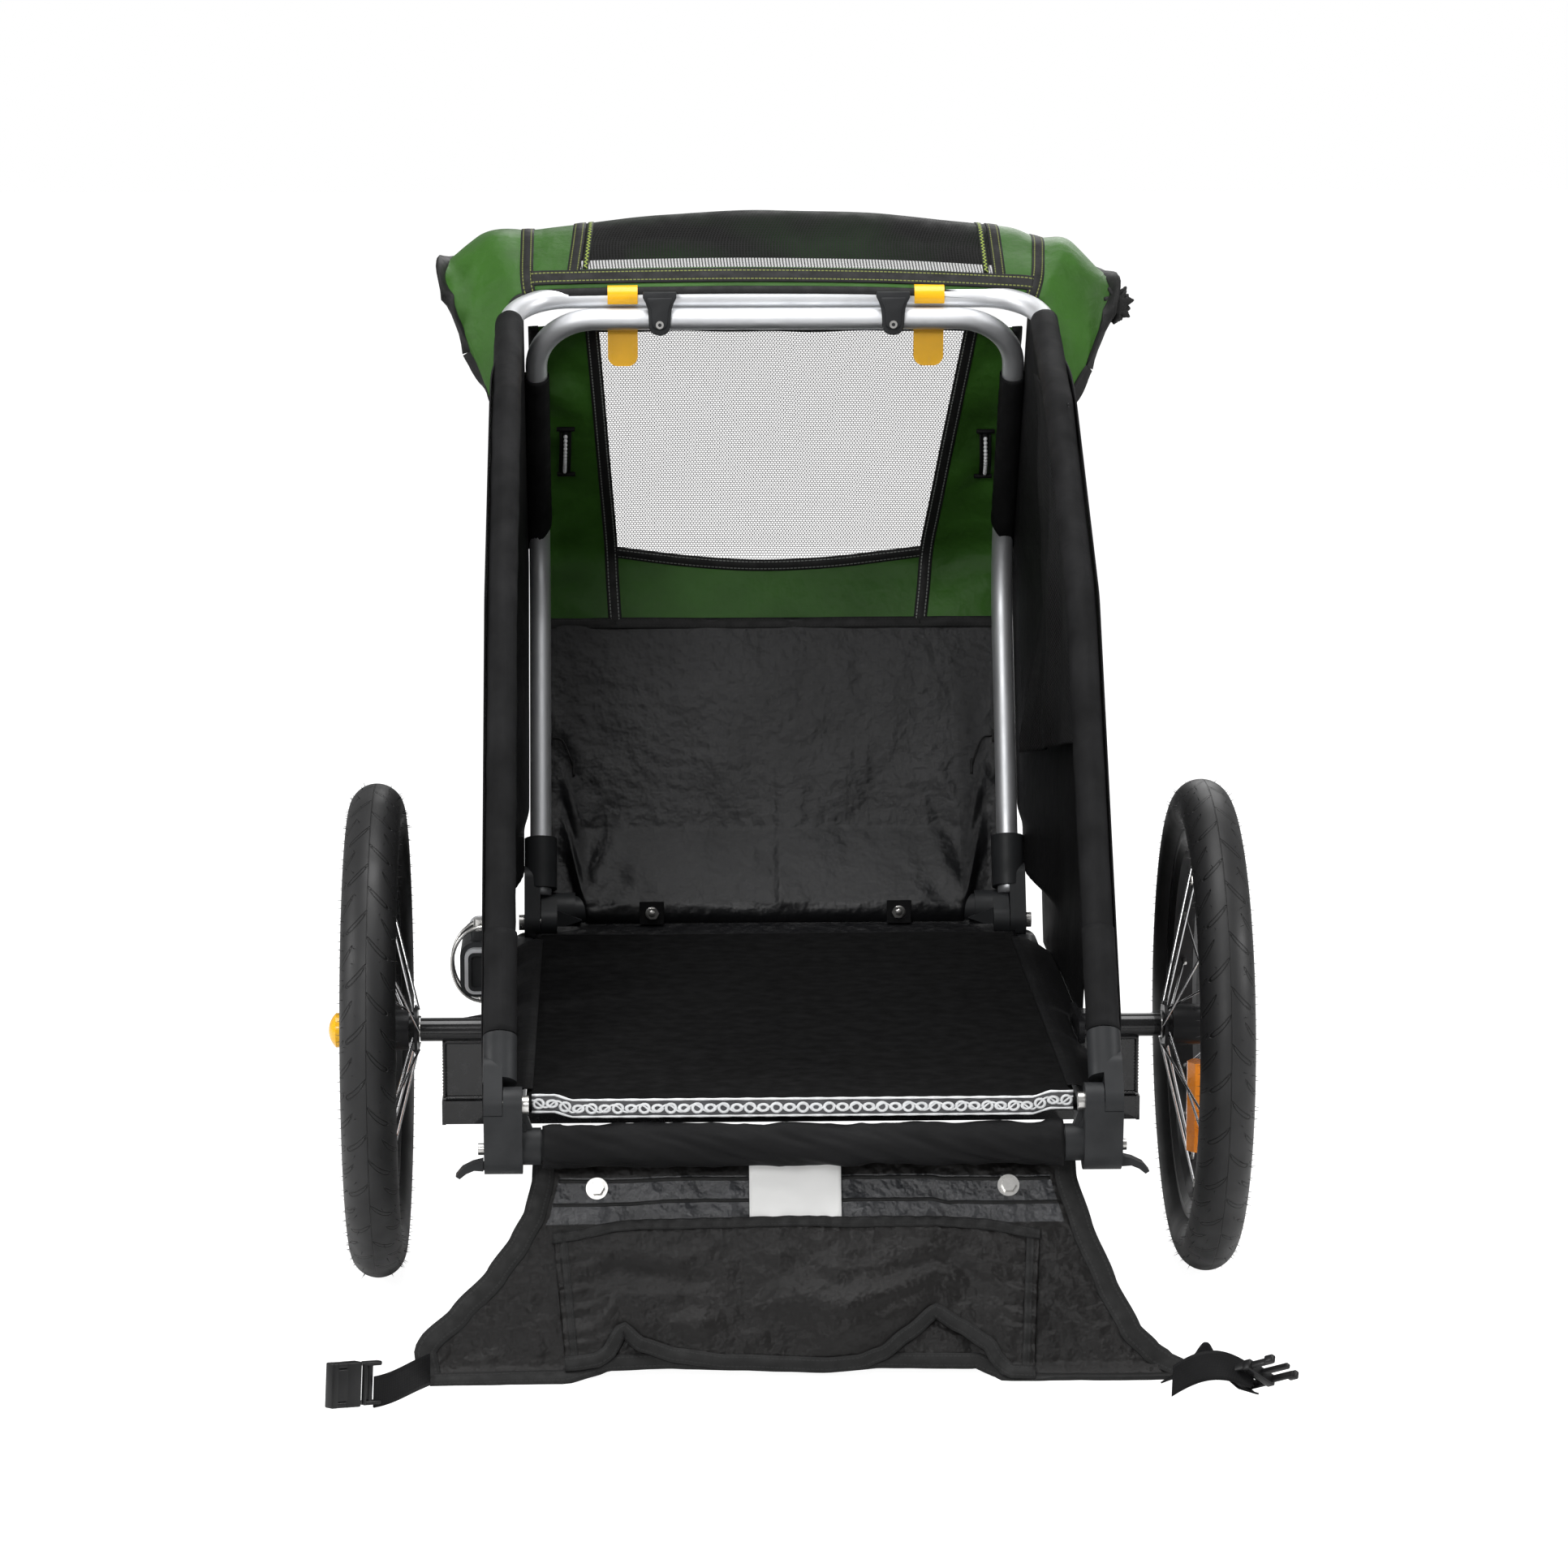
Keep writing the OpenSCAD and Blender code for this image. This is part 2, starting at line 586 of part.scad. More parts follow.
front_bolt_x = 109;
module frame_bolts() color([0.75, 0.75, 0.76]) placed() {
    for (s = [-1, 1]) translate([s * front_bolt_x, front_cross[0] - cross_d / 2 - 0.1, front_cross[1]])
        washer_bolt(9);
    for (left = [0, 1]) mirror([left, 0, 0]) {
        bar_x(rear_inner + knuckle_w + 0.1, rear_inner + knuckle_w + 5, rear_cross + [4, -3], 4.5);
    }
}

module floor_board() color([0.1, 0.1, 0.1]) placed()
    translate([-floor_x, rear_cross[0] + 12, board_z])
        cube([2 * floor_x, front_pivot[0] - rear_cross[0] - 30, board_t]);

module floor_mat() color([0.03, 0.03, 0.03]) placed()
    translate([-floor_x, rear_cross[0] + 8, mat_z])
        linear_extrude(mat_t) translate([floor_x, (front_pivot[0] - rear_cross[0] - 24) / 2])
            round_rect(2 * floor_x, front_pivot[0] - rear_cross[0] - 24, 6);

// Fabric hem rolled round the rear cross tube
module rear_hem() color([0.1, 0.1, 0.1]) placed() difference() {
    bar_x(-(rear_inner - 15), rear_inner - 15, rear_cross, hem_r);
    bar_x(-rear_inner, rear_inner, rear_cross, cross_d / 2 + seat_gap);
}

// Fabric side, cut away for the axle bracket and, on the left, for the tow receiver
module side_wall(left) color([0.12, 0.12, 0.12]) on_side(left) across(wall_x, wall_x + wall_t) difference() {
    polygon([
        rear_pivot + [52, -22], rear_pivot + polar(72, rear_leg_tilt), rear_bend + [-4, 4],
        rear_shoulder + [-2, 5], rear_bar + [-14, 0], front_bar + [12, -4], nose + [9, 0], front_pivot + [9, -23]
    ]);
    translate([-30, axle_z - 40]) square([96, 40 + 14]);
    if (left) translate([receiver_y - 10, axle_z - 40]) square([receiver_l + 20, pin_top + 3 - axle_z + 40]);
}

// ---- rear hoop ----

rear_leg_start = rear_pivot + polar(hinge_free + 6, rear_leg_tilt);
module rear_hoop() color([0.78, 0.78, 0.8]) placed() bent_tube(
    hoop_path(rear_hoop_x, rear_bar, [rear_shoulder, rear_bend, rear_leg_start]),
    [leg_bend_r, leg_bend_r, corner_r, corner_r, leg_bend_r, leg_bend_r], hoop_d / 2, hoop_d / 2 - tube_wall
);

// Hinge socket: the outer half of the lap, then the collar that takes the leg
module hoop_socket(left) color([0.13, 0.13, 0.13]) on_side(left) difference() {
    union() {
        across(rear_inner + lap_x + 0.3, rear_inner + knuckle_w) link_2d(
            rear_pivot, hinge_r, rear_pivot + polar(hinge_free + 8, rear_leg_tilt), hinge_r - 1
        );
        rod(
            at_x(rear_hoop_x, rear_pivot + polar(hinge_free, rear_leg_tilt)),
            at_x(rear_hoop_x, rear_pivot + polar(hinge_free + 38, rear_leg_tilt)), cuff_d / 2
        );
    }
    bar_x(rear_inner, rear_inner + knuckle_w + past, rear_pivot, pin_d / 2 + run_gap);
    rod(
        at_x(rear_hoop_x, rear_leg_start - polar(seat_gap, rear_leg_tilt)), at_x(rear_hoop_x, rear_bend),
        hoop_d / 2 + seat_gap
    );
}

// Fabric sleeve over the leg, with the doubled cuff at its foot
module hoop_sleeve(left) color([0.1, 0.1, 0.1]) on_side(left) {
    foot = rear_pivot + polar(hinge_free + 38 + 0.1, rear_leg_tilt);
    top = rear_bar - polar(corner_r + 4, atan2(rear_bar[1] - rear_shoulder[1], rear_bar[0] - rear_shoulder[0]));
    bent_tube(
        [for (p = [foot, rear_bend, rear_shoulder, top]) at_x(rear_hoop_x, p)],
        [leg_bend_r, leg_bend_r], sleeve_d / 2, hoop_d / 2 + seat_gap
    );
    difference() {
        rod(at_x(rear_hoop_x, foot), at_x(rear_hoop_x, foot + polar(cuff_l, rear_leg_tilt)), cuff_r);
        rod(at_x(rear_hoop_x, rear_pivot), at_x(rear_hoop_x, rear_bend), sleeve_d / 2 + seat_gap);
    }
}

// Thrown-back cover: an arched sheet with wings that hang outside the hoop
cover_corner = rear_hoop_x - 8;
module cover_outline(inset) polygon([
    [-wall_x - 7 + inset, -100], [-cover_x + inset, 21], [-cover_corner, cover_rise - 16 - inset],
    [-cover_corner / 2, cover_rise - 6 - inset], [0, cover_rise - inset],
    [cover_corner / 2, cover_rise - 6 - inset], [cover_corner, cover_rise - 16 - inset],
    [cover_x - inset, 21], [wall_x + 7 - inset, -100]
]);

module rear_cover() color([0.13, 0.33, 0.1]) placed() {
    intersection() {
        along(rear_bar[0] - wing_back, front_reach) translate([0, rear_bar[1]]) difference() {
            cover_outline(0);
            cover_outline(cover_t);
            translate([-wall_x, -120]) square([2 * wall_x, 100]);
        }
        across(-cover_x, cover_x) translate(rear_bar) polygon([
            [-wing_back, -60], [-wing_back + 30, -98], [-60, -101], [20, -70], [cover_reach * 0.55, -20],
            [cover_reach, 10], [cover_reach, cover_rise - 8], [90, cover_rise], [-12, cover_rise],
            [-30, 30]
        ]);
    }
}

// ---- front hoop ----

front_leg_start = front_pivot + polar(front_free + 6, front_leg_tilt);
front_socket_r = hinge_r + 0.5;

module front_hoop() color([0.8, 0.8, 0.82]) placed() bent_tube(
    hoop_path(front_hoop_x, front_bar, [nose, front_leg_start]),
    [leg_bend_r, corner_r, corner_r, leg_bend_r], hoop_d / 2, hoop_d / 2 - tube_wall
);

module front_socket(left) color([0.13, 0.13, 0.13]) on_side(left) difference() {
    union() {
        across(front_inner + lap_x + 0.3, front_inner + knuckle_w) link_2d(
            front_pivot, hinge_r, front_pivot + polar(front_free + 8, front_leg_tilt), hinge_r - 1
        );
        rod(
            at_x(front_hoop_x, front_pivot + polar(front_free, front_leg_tilt)),
            at_x(front_hoop_x, front_pivot + polar(front_free + 46, front_leg_tilt)), front_socket_r
        );
    }
    bar_x(front_inner, front_inner + knuckle_w + past, front_pivot, pin_d / 2 + run_gap);
    rod(
        at_x(front_hoop_x, front_leg_start - polar(seat_gap, front_leg_tilt)), at_x(front_hoop_x, nose),
        hoop_d / 2 + seat_gap
    );
}

// Front fabric: hangs outside the hoop, from above the crossbar to the hinges
panel_x = front_hoop_x + 6;
panel_gap = front_socket_r + free_gap;
panel_foot = hinge_free + 16;
panel_head = 20;
// Points on a line that runs parallel to the front hoop, a distance out from it
function panel_low(out, s) = front_pivot + polar(out, front_leg_tilt - 90) + polar(s, front_leg_tilt);
function panel_high(out, s) = nose + polar(out, front_top_tilt - 90) + polar(s, front_top_tilt);
function panel_knee(out) = nose + polar(out / cos((front_top_tilt - front_leg_tilt) / 2),
    (front_top_tilt + front_leg_tilt) / 2 - 90);
module front_panel() color([0.1, 0.25, 0.1]) placed() {
    across(-panel_x, panel_x) polygon([
        panel_low(panel_gap, panel_foot), panel_knee(panel_gap), panel_high(panel_gap, front_top - panel_head),
        panel_high(panel_gap + panel_t, front_top - panel_head), panel_knee(panel_gap + panel_t),
        panel_low(panel_gap + panel_t, panel_foot)
    ]);
}

// Plastic saddles screwed to the front crossbar, which cradle the rear one
module saddles() color([0.13, 0.13, 0.13]) placed() for (s = [-1, 1]) {
    half_top = 15.5;
    half_foot = 10.5;
    difference() {
        intersection() {
            across(s * saddle_x - half_top, s * saddle_x + half_top) polygon([
                front_bar + [-14, -9], front_bar + [-14, 12], rear_bar + [-17, 6], rear_bar + [-9, 6],
                rear_bar + [-3, -7], front_bar + [2, 11], front_bar + [-8, -9]
            ]);
            along(front_bar[0] - 40, front_bar[0] + 40) polygon([
                [s * saddle_x - half_foot, front_bar[1] - 12], [s * saddle_x + half_foot, front_bar[1] - 12],
                [s * saddle_x + half_top, rear_bar[1]], [s * saddle_x + half_top, rear_bar[1] + 8],
                [s * saddle_x - half_top, rear_bar[1] + 8], [s * saddle_x - half_top, rear_bar[1]]
            ]);
        }
        bar_x(s * saddle_x - 20, s * saddle_x + 20, front_bar, hoop_d / 2 + seat_gap);
        bar_x(s * saddle_x - 20, s * saddle_x + 20, rear_bar, hoop_d / 2 + free_gap);
    }
}

// Latch: clips over the rear crossbar, then its arm bends back to hold the front one from ahead
module latch(left) color([0.95, 0.65, 0.05]) on_side(left) {
    grip = 3;
    clip_r = hoop_d / 2 + run_gap;
    arm = clip_r + grip;
    bar = front_bar - rear_bar;
    hug = bar[0] + hoop_d / 2 + free_gap;
    half = latch_w / 2;
    intersection() {
        across(latch_x - half, latch_x + half) translate(rear_bar) difference() {
            union() {
                circle(arm);
                polygon([
                    [0, 0], [arm - 0.2, 0], [arm - 1, -7], [hug + grip, bar[1] + 2], [hug + grip, bar[1] - 14],
                    [hug + grip + 2.5, 8 - latch_drop], [hug + grip + 2, -latch_drop],
                    [hug + 2, -latch_drop], [hug, bar[1] - 14], [hug, -arm + 2]
                ]);
            }
            circle(clip_r);
            translate([-arm - past, -arm - past]) square([arm + hug + 0.3 + past, arm + past - 5]);
        }
        along(rear_bar[0] - 30, rear_bar[0] + 30) translate([latch_x, rear_bar[1]]) union() {
            translate([-half, -latch_drop + half]) square([2 * half, latch_drop + half]);
            translate([0, -latch_drop + half - 3]) round_rect(2 * half, 2 * half - 6, 9);
        }
    }
}

// ---- rear gate ----

// Gate outline across the trailer: narrow at the hinge, with hollow sides that flare to the straps
function flare(s) = gate_top_w / 2 + (gate_foot_w - gate_top_w) / 2 * pow(s, 2.6);
gate_steps = [0:0.1:1];
tab_r = strap_w / 2 + 1;
module rear_gate() color([0.12, 0.12, 0.12]) placed() {
    out = gate_tilt + 90;
    top_z = gate_plane[1];
    // Where the rear face meets the part that lies on the ground
    face_l = (gate_t * (1 + sin(out)) + 1 - top_z) / sin(gate_tilt);
    difference() {
        intersection() {
            across(-gate_foot_w / 2, gate_foot_w / 2) polygon([
                gate_plane + polar(4, gate_tilt), gate_plane + polar(4, gate_tilt) - polar(gate_t, out),
                gate_plane + polar(face_l, gate_tilt) - polar(gate_t, out), [strap_y - strap_w, gate_t],
                [strap_y - strap_w, 0.2], [gate_foot[0] + 2, 0.2]
            ]);
            along(strap_y - strap_w, gate_plane[0] + 20) polygon(concat(
                [for (s = gate_steps) [flare(s), top_z * (1 - s)]],
                [for (s = gate_steps) [-flare(1 - s), top_z * s]]
            ));
        }
        // Round tab at each corner, which the strap swings about
        for (s = [-1, 1]) translate([s * strap_x, strap_y, -past]) linear_extrude(gate_t + 4 + past) difference() {
            for (turn = [strap_angle:10:90]) rotate([0, 0, s > 0 ? -turn : turn - 180])
                translate([0, -strap_w / 2 - free_gap]) square([strap_l, strap_w + 2 * free_gap]);
            circle(tab_r);
        }
    }
}

// Bolts that hold the stiffener strip along the top of the gate
gate_bolt_x = 157;
module gate_bolts() color([0.75, 0.75, 0.76]) placed() for (s = [-1, 1])
    translate(at_x(s * gate_bolt_x, gate_plane + polar(30, gate_tilt) - polar(gate_t + 0.2, gate_tilt + 90)))
        rotate([gate_tilt - 270, 0, 0]) washer_bolt(0.1);

// Straps and buckles lie flat on the ground beside the gate's corners
module strap_frame(left) on_side(left) translate([strap_x, strap_y, 0]) rotate([0, 0, -strap_angle]) children();

module strap(left) color([0.08, 0.08, 0.08]) strap_frame(left) translate([0, 0, 0.5]) difference() {
    translate([tab_r / 2, -strap_w / 2, 0]) cube([strap_l - tab_r / 2, strap_w, strap_t]);
    translate([0, 0, -past]) cylinder(r = tab_r + free_gap, h = strap_t + 2 * past);
}

module buckle(left) color([0.05, 0.05, 0.05]) strap_frame(left) translate([strap_l, 0, 0]) difference() {
    translate([0, 0, 0.2]) linear_extrude(buckle_t) difference() {
        translate([buckle_l / 2, 0]) round_rect(buckle_l, buckle_w, 3);
        translate([5, 0]) round_rect(5, strap_w + 1, 1);
    }
    translate([buckle_l - 14, -buckle_w / 2 + 5, 3]) cube([15, buckle_w - 10, buckle_t - 5.5]);
}

// ---- tow receiver, on the left ----

receiver_x = -(rail_x + rail_d / 2 + 7.5 + receiver_w / 2);
receiver_z = axle_z + 26;
pin_y = receiver_y + 24;
tow_hole_y = receiver_y + receiver_l - 26;
corner = 8;

module tow_receiver() color([0.8, 0.8, 0.82]) placed() translate([receiver_x, 0, receiver_z]) difference() {
    along(receiver_y, receiver_y + receiver_l) difference() {
        round_rect(receiver_w, receiver_h, corner);
        round_rect(receiver_w - 2 * receiver_wall, receiver_h - 2 * receiver_wall, corner - receiver_wall);
    }
    translate([0, pin_y, -receiver_h]) cylinder(r = pin_d / 2 + run_gap, h = 2 * receiver_h);
    translate([0, tow_hole_y, -receiver_h]) cylinder(d = tow_hole_d, h = 2 * receiver_h);
}

module receiver_plug() color([0.04, 0.04, 0.05]) placed() translate([receiver_x, 0, receiver_z]) {
    inner_w = receiver_w - 2 * receiver_wall - 2 * seat_gap;
    inner_h = receiver_h - 2 * receiver_wall - 2 * seat_gap;
    difference() {
        along(receiver_y - 2, receiver_y + 12) round_rect(inner_w, inner_h, corner - receiver_wall);
        along(receiver_y - 3, receiver_y + 1) round_rect(inner_w - 5, inner_h - 5, corner - receiver_wall - 2);
    }
}

// Clamp that holds the receiver to the side rail, with the lug that seats the pin's head
module receiver_bracket() color([0.07, 0.07, 0.07]) placed() {
    y0 = receiver_y + 8;
    y1 = receiver_y + 100;
    edge = receiver_x + receiver_w / 2;
    difference() {
        union() {
            along(y0, y1) translate([receiver_x, receiver_z]) round_rect(receiver_w + 8, receiver_h + 8, corner + 4);
            along(y0, y1) polygon([
                [edge - 6, receiver_z - receiver_h / 2 - 4], [edge - 6, receiver_z + 10], [edge + 4, receiver_z + 10],
                [edge + 7, rail_z + 10], [edge + 7, rail_z - 10], [edge - 2, rail_z - 10]
            ]);
            translate([receiver_x, pin_y, receiver_z + receiver_h / 2]) cylinder(r = 10, h = 12);
        }
        along(y0 - past, y1 + past) translate([receiver_x, receiver_z])
            round_rect(receiver_w + 2 * seat_gap, receiver_h + 2 * seat_gap, corner + seat_gap);
        translate([receiver_x, pin_y, receiver_z - receiver_h]) cylinder(r = pin_d / 2 + run_gap, h = 2 * receiver_h);
    }
}

// Pin with a round head, and the wire bail that snaps under its tip
pin_top = receiver_z + receiver_h / 2 + 12;
pin_tip = receiver_z - receiver_h / 2 - 12;
module hitch_pin() color([0.75, 0.75, 0.76]) placed() translate([receiver_x, pin_y, 0]) difference() {
    union() {
        translate([0, 0, pin_tip]) cylinder(r = pin_d / 2, h = pin_top - pin_tip);
        translate([0, 0, pin_top]) cylinder(r = pin_d / 2 + 3, h = 9);
    }
    translate([0, -10, pin_top + 4.5]) rotate([-90, 0, 0]) cylinder(r = 1.6, h = 20);
}

bail_wire = 1.5;
module pin_bail() color([0.75, 0.75, 0.76]) placed() translate([receiver_x, pin_y, 0]) {
    side = pin_d / 2 + 6;
    top = pin_top + 4.5;
    low = pin_tip + 3;
    bow = -receiver_w / 2 - 12;
    bent_tube(
        [
            [0, side, top], [bow, side, top - 6], [bow, side, low],
            [-pin_d / 2 - 3, side, low - 1], [-pin_d / 2 - 3, -side, low - 1],
            [bow, -side, low], [bow, -side, top - 6], [0, -side, top]
        ],
        [10, 10, 3, 3, 10, 10], bail_wire, 0, sides = 8
    );
}

// ---- the whole trailer ----

for (left = [false, true]) {
    name = left ? "left_" : "right_";
    tyre(left);
    inner_tube(left);
    rim(left);
    spokes(left);
    hub(left);
    reflector(left);
    button(left);
    stub_axle(left);
    axle_bracket(left);
    side_rail(left);
    rear_knuckle(left);
    front_knuckle(left);
    release_plunger(left);
    side_wall(left);
    hoop_socket(left);
    hoop_sleeve(left);
    front_socket(left);
    latch(left);
    strap(left);
    buckle(left);
}
axle_cross_tube();
cross_tube(front_cross, front_tube_end, [front_bolt_x]);  // front_cross_tube
cross_tube(rear_cross, rear_tube_end);  // rear_cross_tube
pivot_pins();
frame_bolts();
floor_board();
floor_mat();
rear_hem();
rear_hoop();
rear_cover();
front_hoop();
front_panel();
saddles();
rear_gate();
gate_bolts();
tow_receiver();
receiver_plug();
receiver_bracket();
hitch_pin();
pin_bail();
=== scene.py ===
import json
import math
import random
import bpy
from mathutils import Matrix, Vector, noise


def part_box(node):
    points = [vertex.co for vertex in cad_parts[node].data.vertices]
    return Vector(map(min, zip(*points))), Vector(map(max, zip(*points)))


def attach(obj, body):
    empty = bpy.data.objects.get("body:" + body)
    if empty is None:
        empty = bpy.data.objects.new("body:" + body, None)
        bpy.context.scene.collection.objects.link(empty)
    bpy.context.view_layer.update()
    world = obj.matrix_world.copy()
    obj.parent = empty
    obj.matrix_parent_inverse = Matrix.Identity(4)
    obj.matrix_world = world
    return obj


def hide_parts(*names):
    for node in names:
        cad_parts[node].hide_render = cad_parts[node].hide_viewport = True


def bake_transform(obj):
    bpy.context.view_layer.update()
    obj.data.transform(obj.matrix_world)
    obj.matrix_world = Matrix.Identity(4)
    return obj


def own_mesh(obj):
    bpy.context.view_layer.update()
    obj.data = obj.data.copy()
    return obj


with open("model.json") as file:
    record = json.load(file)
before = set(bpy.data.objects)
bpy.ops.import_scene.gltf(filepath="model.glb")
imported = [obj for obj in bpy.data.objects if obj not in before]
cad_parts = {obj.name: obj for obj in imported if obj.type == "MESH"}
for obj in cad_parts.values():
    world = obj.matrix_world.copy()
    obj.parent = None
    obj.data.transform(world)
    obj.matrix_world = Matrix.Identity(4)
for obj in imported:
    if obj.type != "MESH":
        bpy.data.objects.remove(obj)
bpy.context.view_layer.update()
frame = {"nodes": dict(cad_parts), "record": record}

# ---- Viewpoint, lamps and the white room ----
# The trailer is seen from behind, from just over its own height, through a long lens.
# It stands in a white studio lit by soft boxes overhead, behind the viewer and to both sides.
pivots = {j["name"]: Vector(j.get("pos_m", (0, 0, 0))) for j in frame["record"]["behaviour"]["joints"]}
axle = pivots["right_wheel_spin"]
drawn_lift = axle.z - 0.2  # heights in metres were drawn for an axle 0.2 m up


def at(x, y, z):
    """A place given in millimetres from the middle of the axle line, forward, and up from the ground."""
    return Vector((x / 1000, axle.y + y / 1000, z / 1000))


def pick(*pieces):
    """Selects these pieces alone, with the first one active."""
    bpy.ops.object.select_all(action="DESELECT")
    for piece in pieces:
        piece.select_set(True)
    bpy.context.view_layer.objects.active = pieces[0]


bpy.ops.object.camera_add(location=at(-138, -4000, 1105))
camera = bpy.context.object
camera.rotation_euler = (at(-5.9, 0, 400) - camera.location).to_track_quat("-Z", "Y").to_euler()
lens_ratio = 6230 / 1932  # focal length over the picture's width
camera.data.sensor_width = 36
camera.data.lens = lens_ratio * 36
bpy.context.scene.camera = camera
bpy.context.scene.view_settings.view_transform = "Standard"

soft_boxes = [
    ("overhead", at(0, -200, 2500), at(0, 0, 300), 1.5, 40),
    ("behind_viewer", at(-1100, -3300, 2100), at(0, 0, 350), 1.1, 50),
    ("left_side", at(-2500, -500, 1300), at(0, 0, 350), 1.0, 26),
    ("right_side", at(2500, -700, 1400), at(0, 0, 350), 1.0, 28),
    ("front_rim", at(600, 2800, 1900), at(0, 0, 500), 1.6, 22),
]
for name, place, aim, width, watts in soft_boxes:
    bpy.ops.object.light_add(type="AREA", location=place)
    lamp = bpy.context.object
    lamp.name = name
    lamp.data.size = width
    lamp.data.energy = watts
    lamp.rotation_euler = (aim - place).to_track_quat("-Z", "Y").to_euler()


def put(tree, kind, values=None, **settings):
    """One node with its settings. A value that is a socket is linked, and any other is typed in."""
    node = tree.nodes.new("ShaderNode" + kind)
    for key, value in settings.items():
        setattr(node, key, value)
    for key, value in (values or {}).items():
        if isinstance(value, bpy.types.NodeSocket):
            tree.links.new(value, node.inputs[key])
        else:
            node.inputs[key].default_value = value
    return node


def maths(tree, operation, a, b=0.0, c=0.0):
    return put(tree, "Math", {0: a, 1: b, 2: c}, operation=operation).outputs[0]


def fresh_tree(owner):
    """The empty node tree of a world or a material."""
    owner.use_nodes = True
    owner.node_tree.nodes.clear()
    return owner.node_tree


def seen_directly(tree):
    """1 on rays that come from the camera, straight or through something clear."""
    rays = put(tree, "LightPath").outputs
    return maths(tree, "MAXIMUM", rays["Is Camera Ray"], rays["Is Transmission Ray"])


room = bpy.data.worlds.new("white_room")
bpy.context.scene.world = room
tree = fresh_tree(room)
ambient = put(tree, "Background", {"Color": (1, 1, 1, 1), "Strength": 0.3})
backdrop = put(tree, "Background", {"Color": (1, 1, 1, 1), "Strength": 1.0})
both = put(tree, "MixShader", {0: seen_directly(tree), 1: ambient.outputs[0], 2: backdrop.outputs[0]})
put(tree, "OutputWorld", {"Surface": both.outputs[0]})

bpy.ops.mesh.primitive_grid_add(x_subdivisions=4, y_subdivisions=4, size=30, location=(0, 0, -0.0004))
studio_floor = bpy.context.object
studio_floor.name = "studio_floor"
paper = bpy.data.materials.new("white_paper")
tree = fresh_tree(paper)
matt = put(tree, "BsdfDiffuse", {"Color": (0.9, 0.9, 0.9, 1)})
bright = put(tree, "Emission", {"Color": (1, 1, 1, 1), "Strength": 1.5})
share = maths(tree, "MULTIPLY", seen_directly(tree), 0.64)
both = put(tree, "MixShader", {0: share, 1: matt.outputs[0], 2: bright.outputs[0]})
put(tree, "OutputMaterial", {"Surface": both.outputs[0]})
studio_floor.data.materials.append(paper)


# ---- Tyres ----
# 16 x 1.75 in pneumatic tyres of black rubber, moulded with pairs of outlined sipes each side of a centre line.
# The mould's vents leave fine rubber hairs on the shoulders and side walls.
def group(name, inputs, outputs):
    """A shader node group with named sockets. Returns its tree, its inputs and its output node."""
    tree = bpy.data.node_groups.new(name, "ShaderNodeTree")
    for label, kind, default in inputs:
        socket = tree.interface.new_socket(label, in_out="INPUT", socket_type="NodeSocket" + kind)
        if default is not None:
            socket.default_value = default
    for label, kind in outputs:
        tree.interface.new_socket(label, in_out="OUTPUT", socket_type="NodeSocket" + kind)
    return tree, tree.nodes.new("NodeGroupInput").outputs, tree.nodes.new("NodeGroupOutput")


def build_mottle():
    """Cloudy and fine variation over a surface: Tone for colour, Height for bumps."""
    tree, given, out = group(
        "mottle", [("Vector", "Vector", None), ("Scale", "Float", 20.0), ("Fine", "Float", 400.0)],
        [("Tone", "Float"), ("Height", "Float")])
    cloud = put(tree, "TexNoise", {"Vector": given["Vector"], "Scale": given["Scale"], "Detail": 4.0})
    speck = put(tree, "TexNoise", {"Vector": given["Vector"], "Scale": given["Fine"], "Detail": 2.0})
    tree.links.new(cloud.outputs[0], out.inputs["Tone"])
    tree.links.new(maths(tree, "MULTIPLY_ADD", speck.outputs[0], 0.35, cloud.outputs[0]), out.inputs["Height"])
    return tree


mottle = build_mottle()


def use_group(tree, which, values):
    return put(tree, "Group", values, node_tree=which).outputs


def object_point(tree):
    return put(tree, "TexCoord").outputs["Object"]


def uv_point(tree):
    return put(tree, "TexCoord").outputs["UV"]


def blended(tree, share, first, second):
    """A colour between two, by a share that is a socket."""
    return put(tree, "Mix", {0: share, 6: first, 7: second}, data_type="RGBA").outputs[2]


def spread(tree, value, low, high, start=0.3, end=0.7):
    ends = {"Value": value, "From Min": start, "From Max": end, "To Min": low, "To Max": high}
    return put(tree, "MapRange", ends).outputs[0]


def finished(name, colour, rough, metal=0.0, bump=0.15, depth=0.0004, scale=20.0, fine=400.0, vary=0.2,
             gloss=0.25, **extra):
    """A surface with cloudy colour and gloss and a fine moulded or woven bump. Returns the material,
    its tree, shader and bump node, so that a piece can add what is its own."""
    material = bpy.data.materials.new(name)
    tree = fresh_tree(material)
    cloud = use_group(tree, mottle, {"Vector": object_point(tree), "Scale": scale, "Fine": fine})
    dark = tuple(c * (1 - vary) for c in colour) + (1,)
    light = tuple(min(1, c * (1 + vary)) for c in colour) + (1,)
    shader = put(tree, "BsdfPrincipled", {
        "Base Color": blended(tree, spread(tree, cloud["Tone"], 0, 1), dark, light),
        "Roughness": spread(tree, cloud["Tone"], min(1, rough * 1.12), rough * 0.88),
        "Metallic": metal, "Specular IOR Level": gloss, **extra})
    bumps = put(tree, "Bump", {"Strength": bump, "Distance": depth, "Height": cloud["Height"]})
    tree.links.new(bumps.outputs[0], shader.inputs["Normal"])
    put(tree, "OutputMaterial", {"Surface": shader.outputs[0]})
    return material, tree, shader, bumps


def raised(tree, shader, bumps, height, strength, distance, **settings):
    """Lays a second bump over a finished surface's own."""
    over = put(tree, "Bump", {"Strength": strength, "Distance": distance, "Height": height,
                              "Normal": bumps.outputs[0]}, **settings)
    tree.links.new(over.outputs[0], shader.inputs["Normal"])


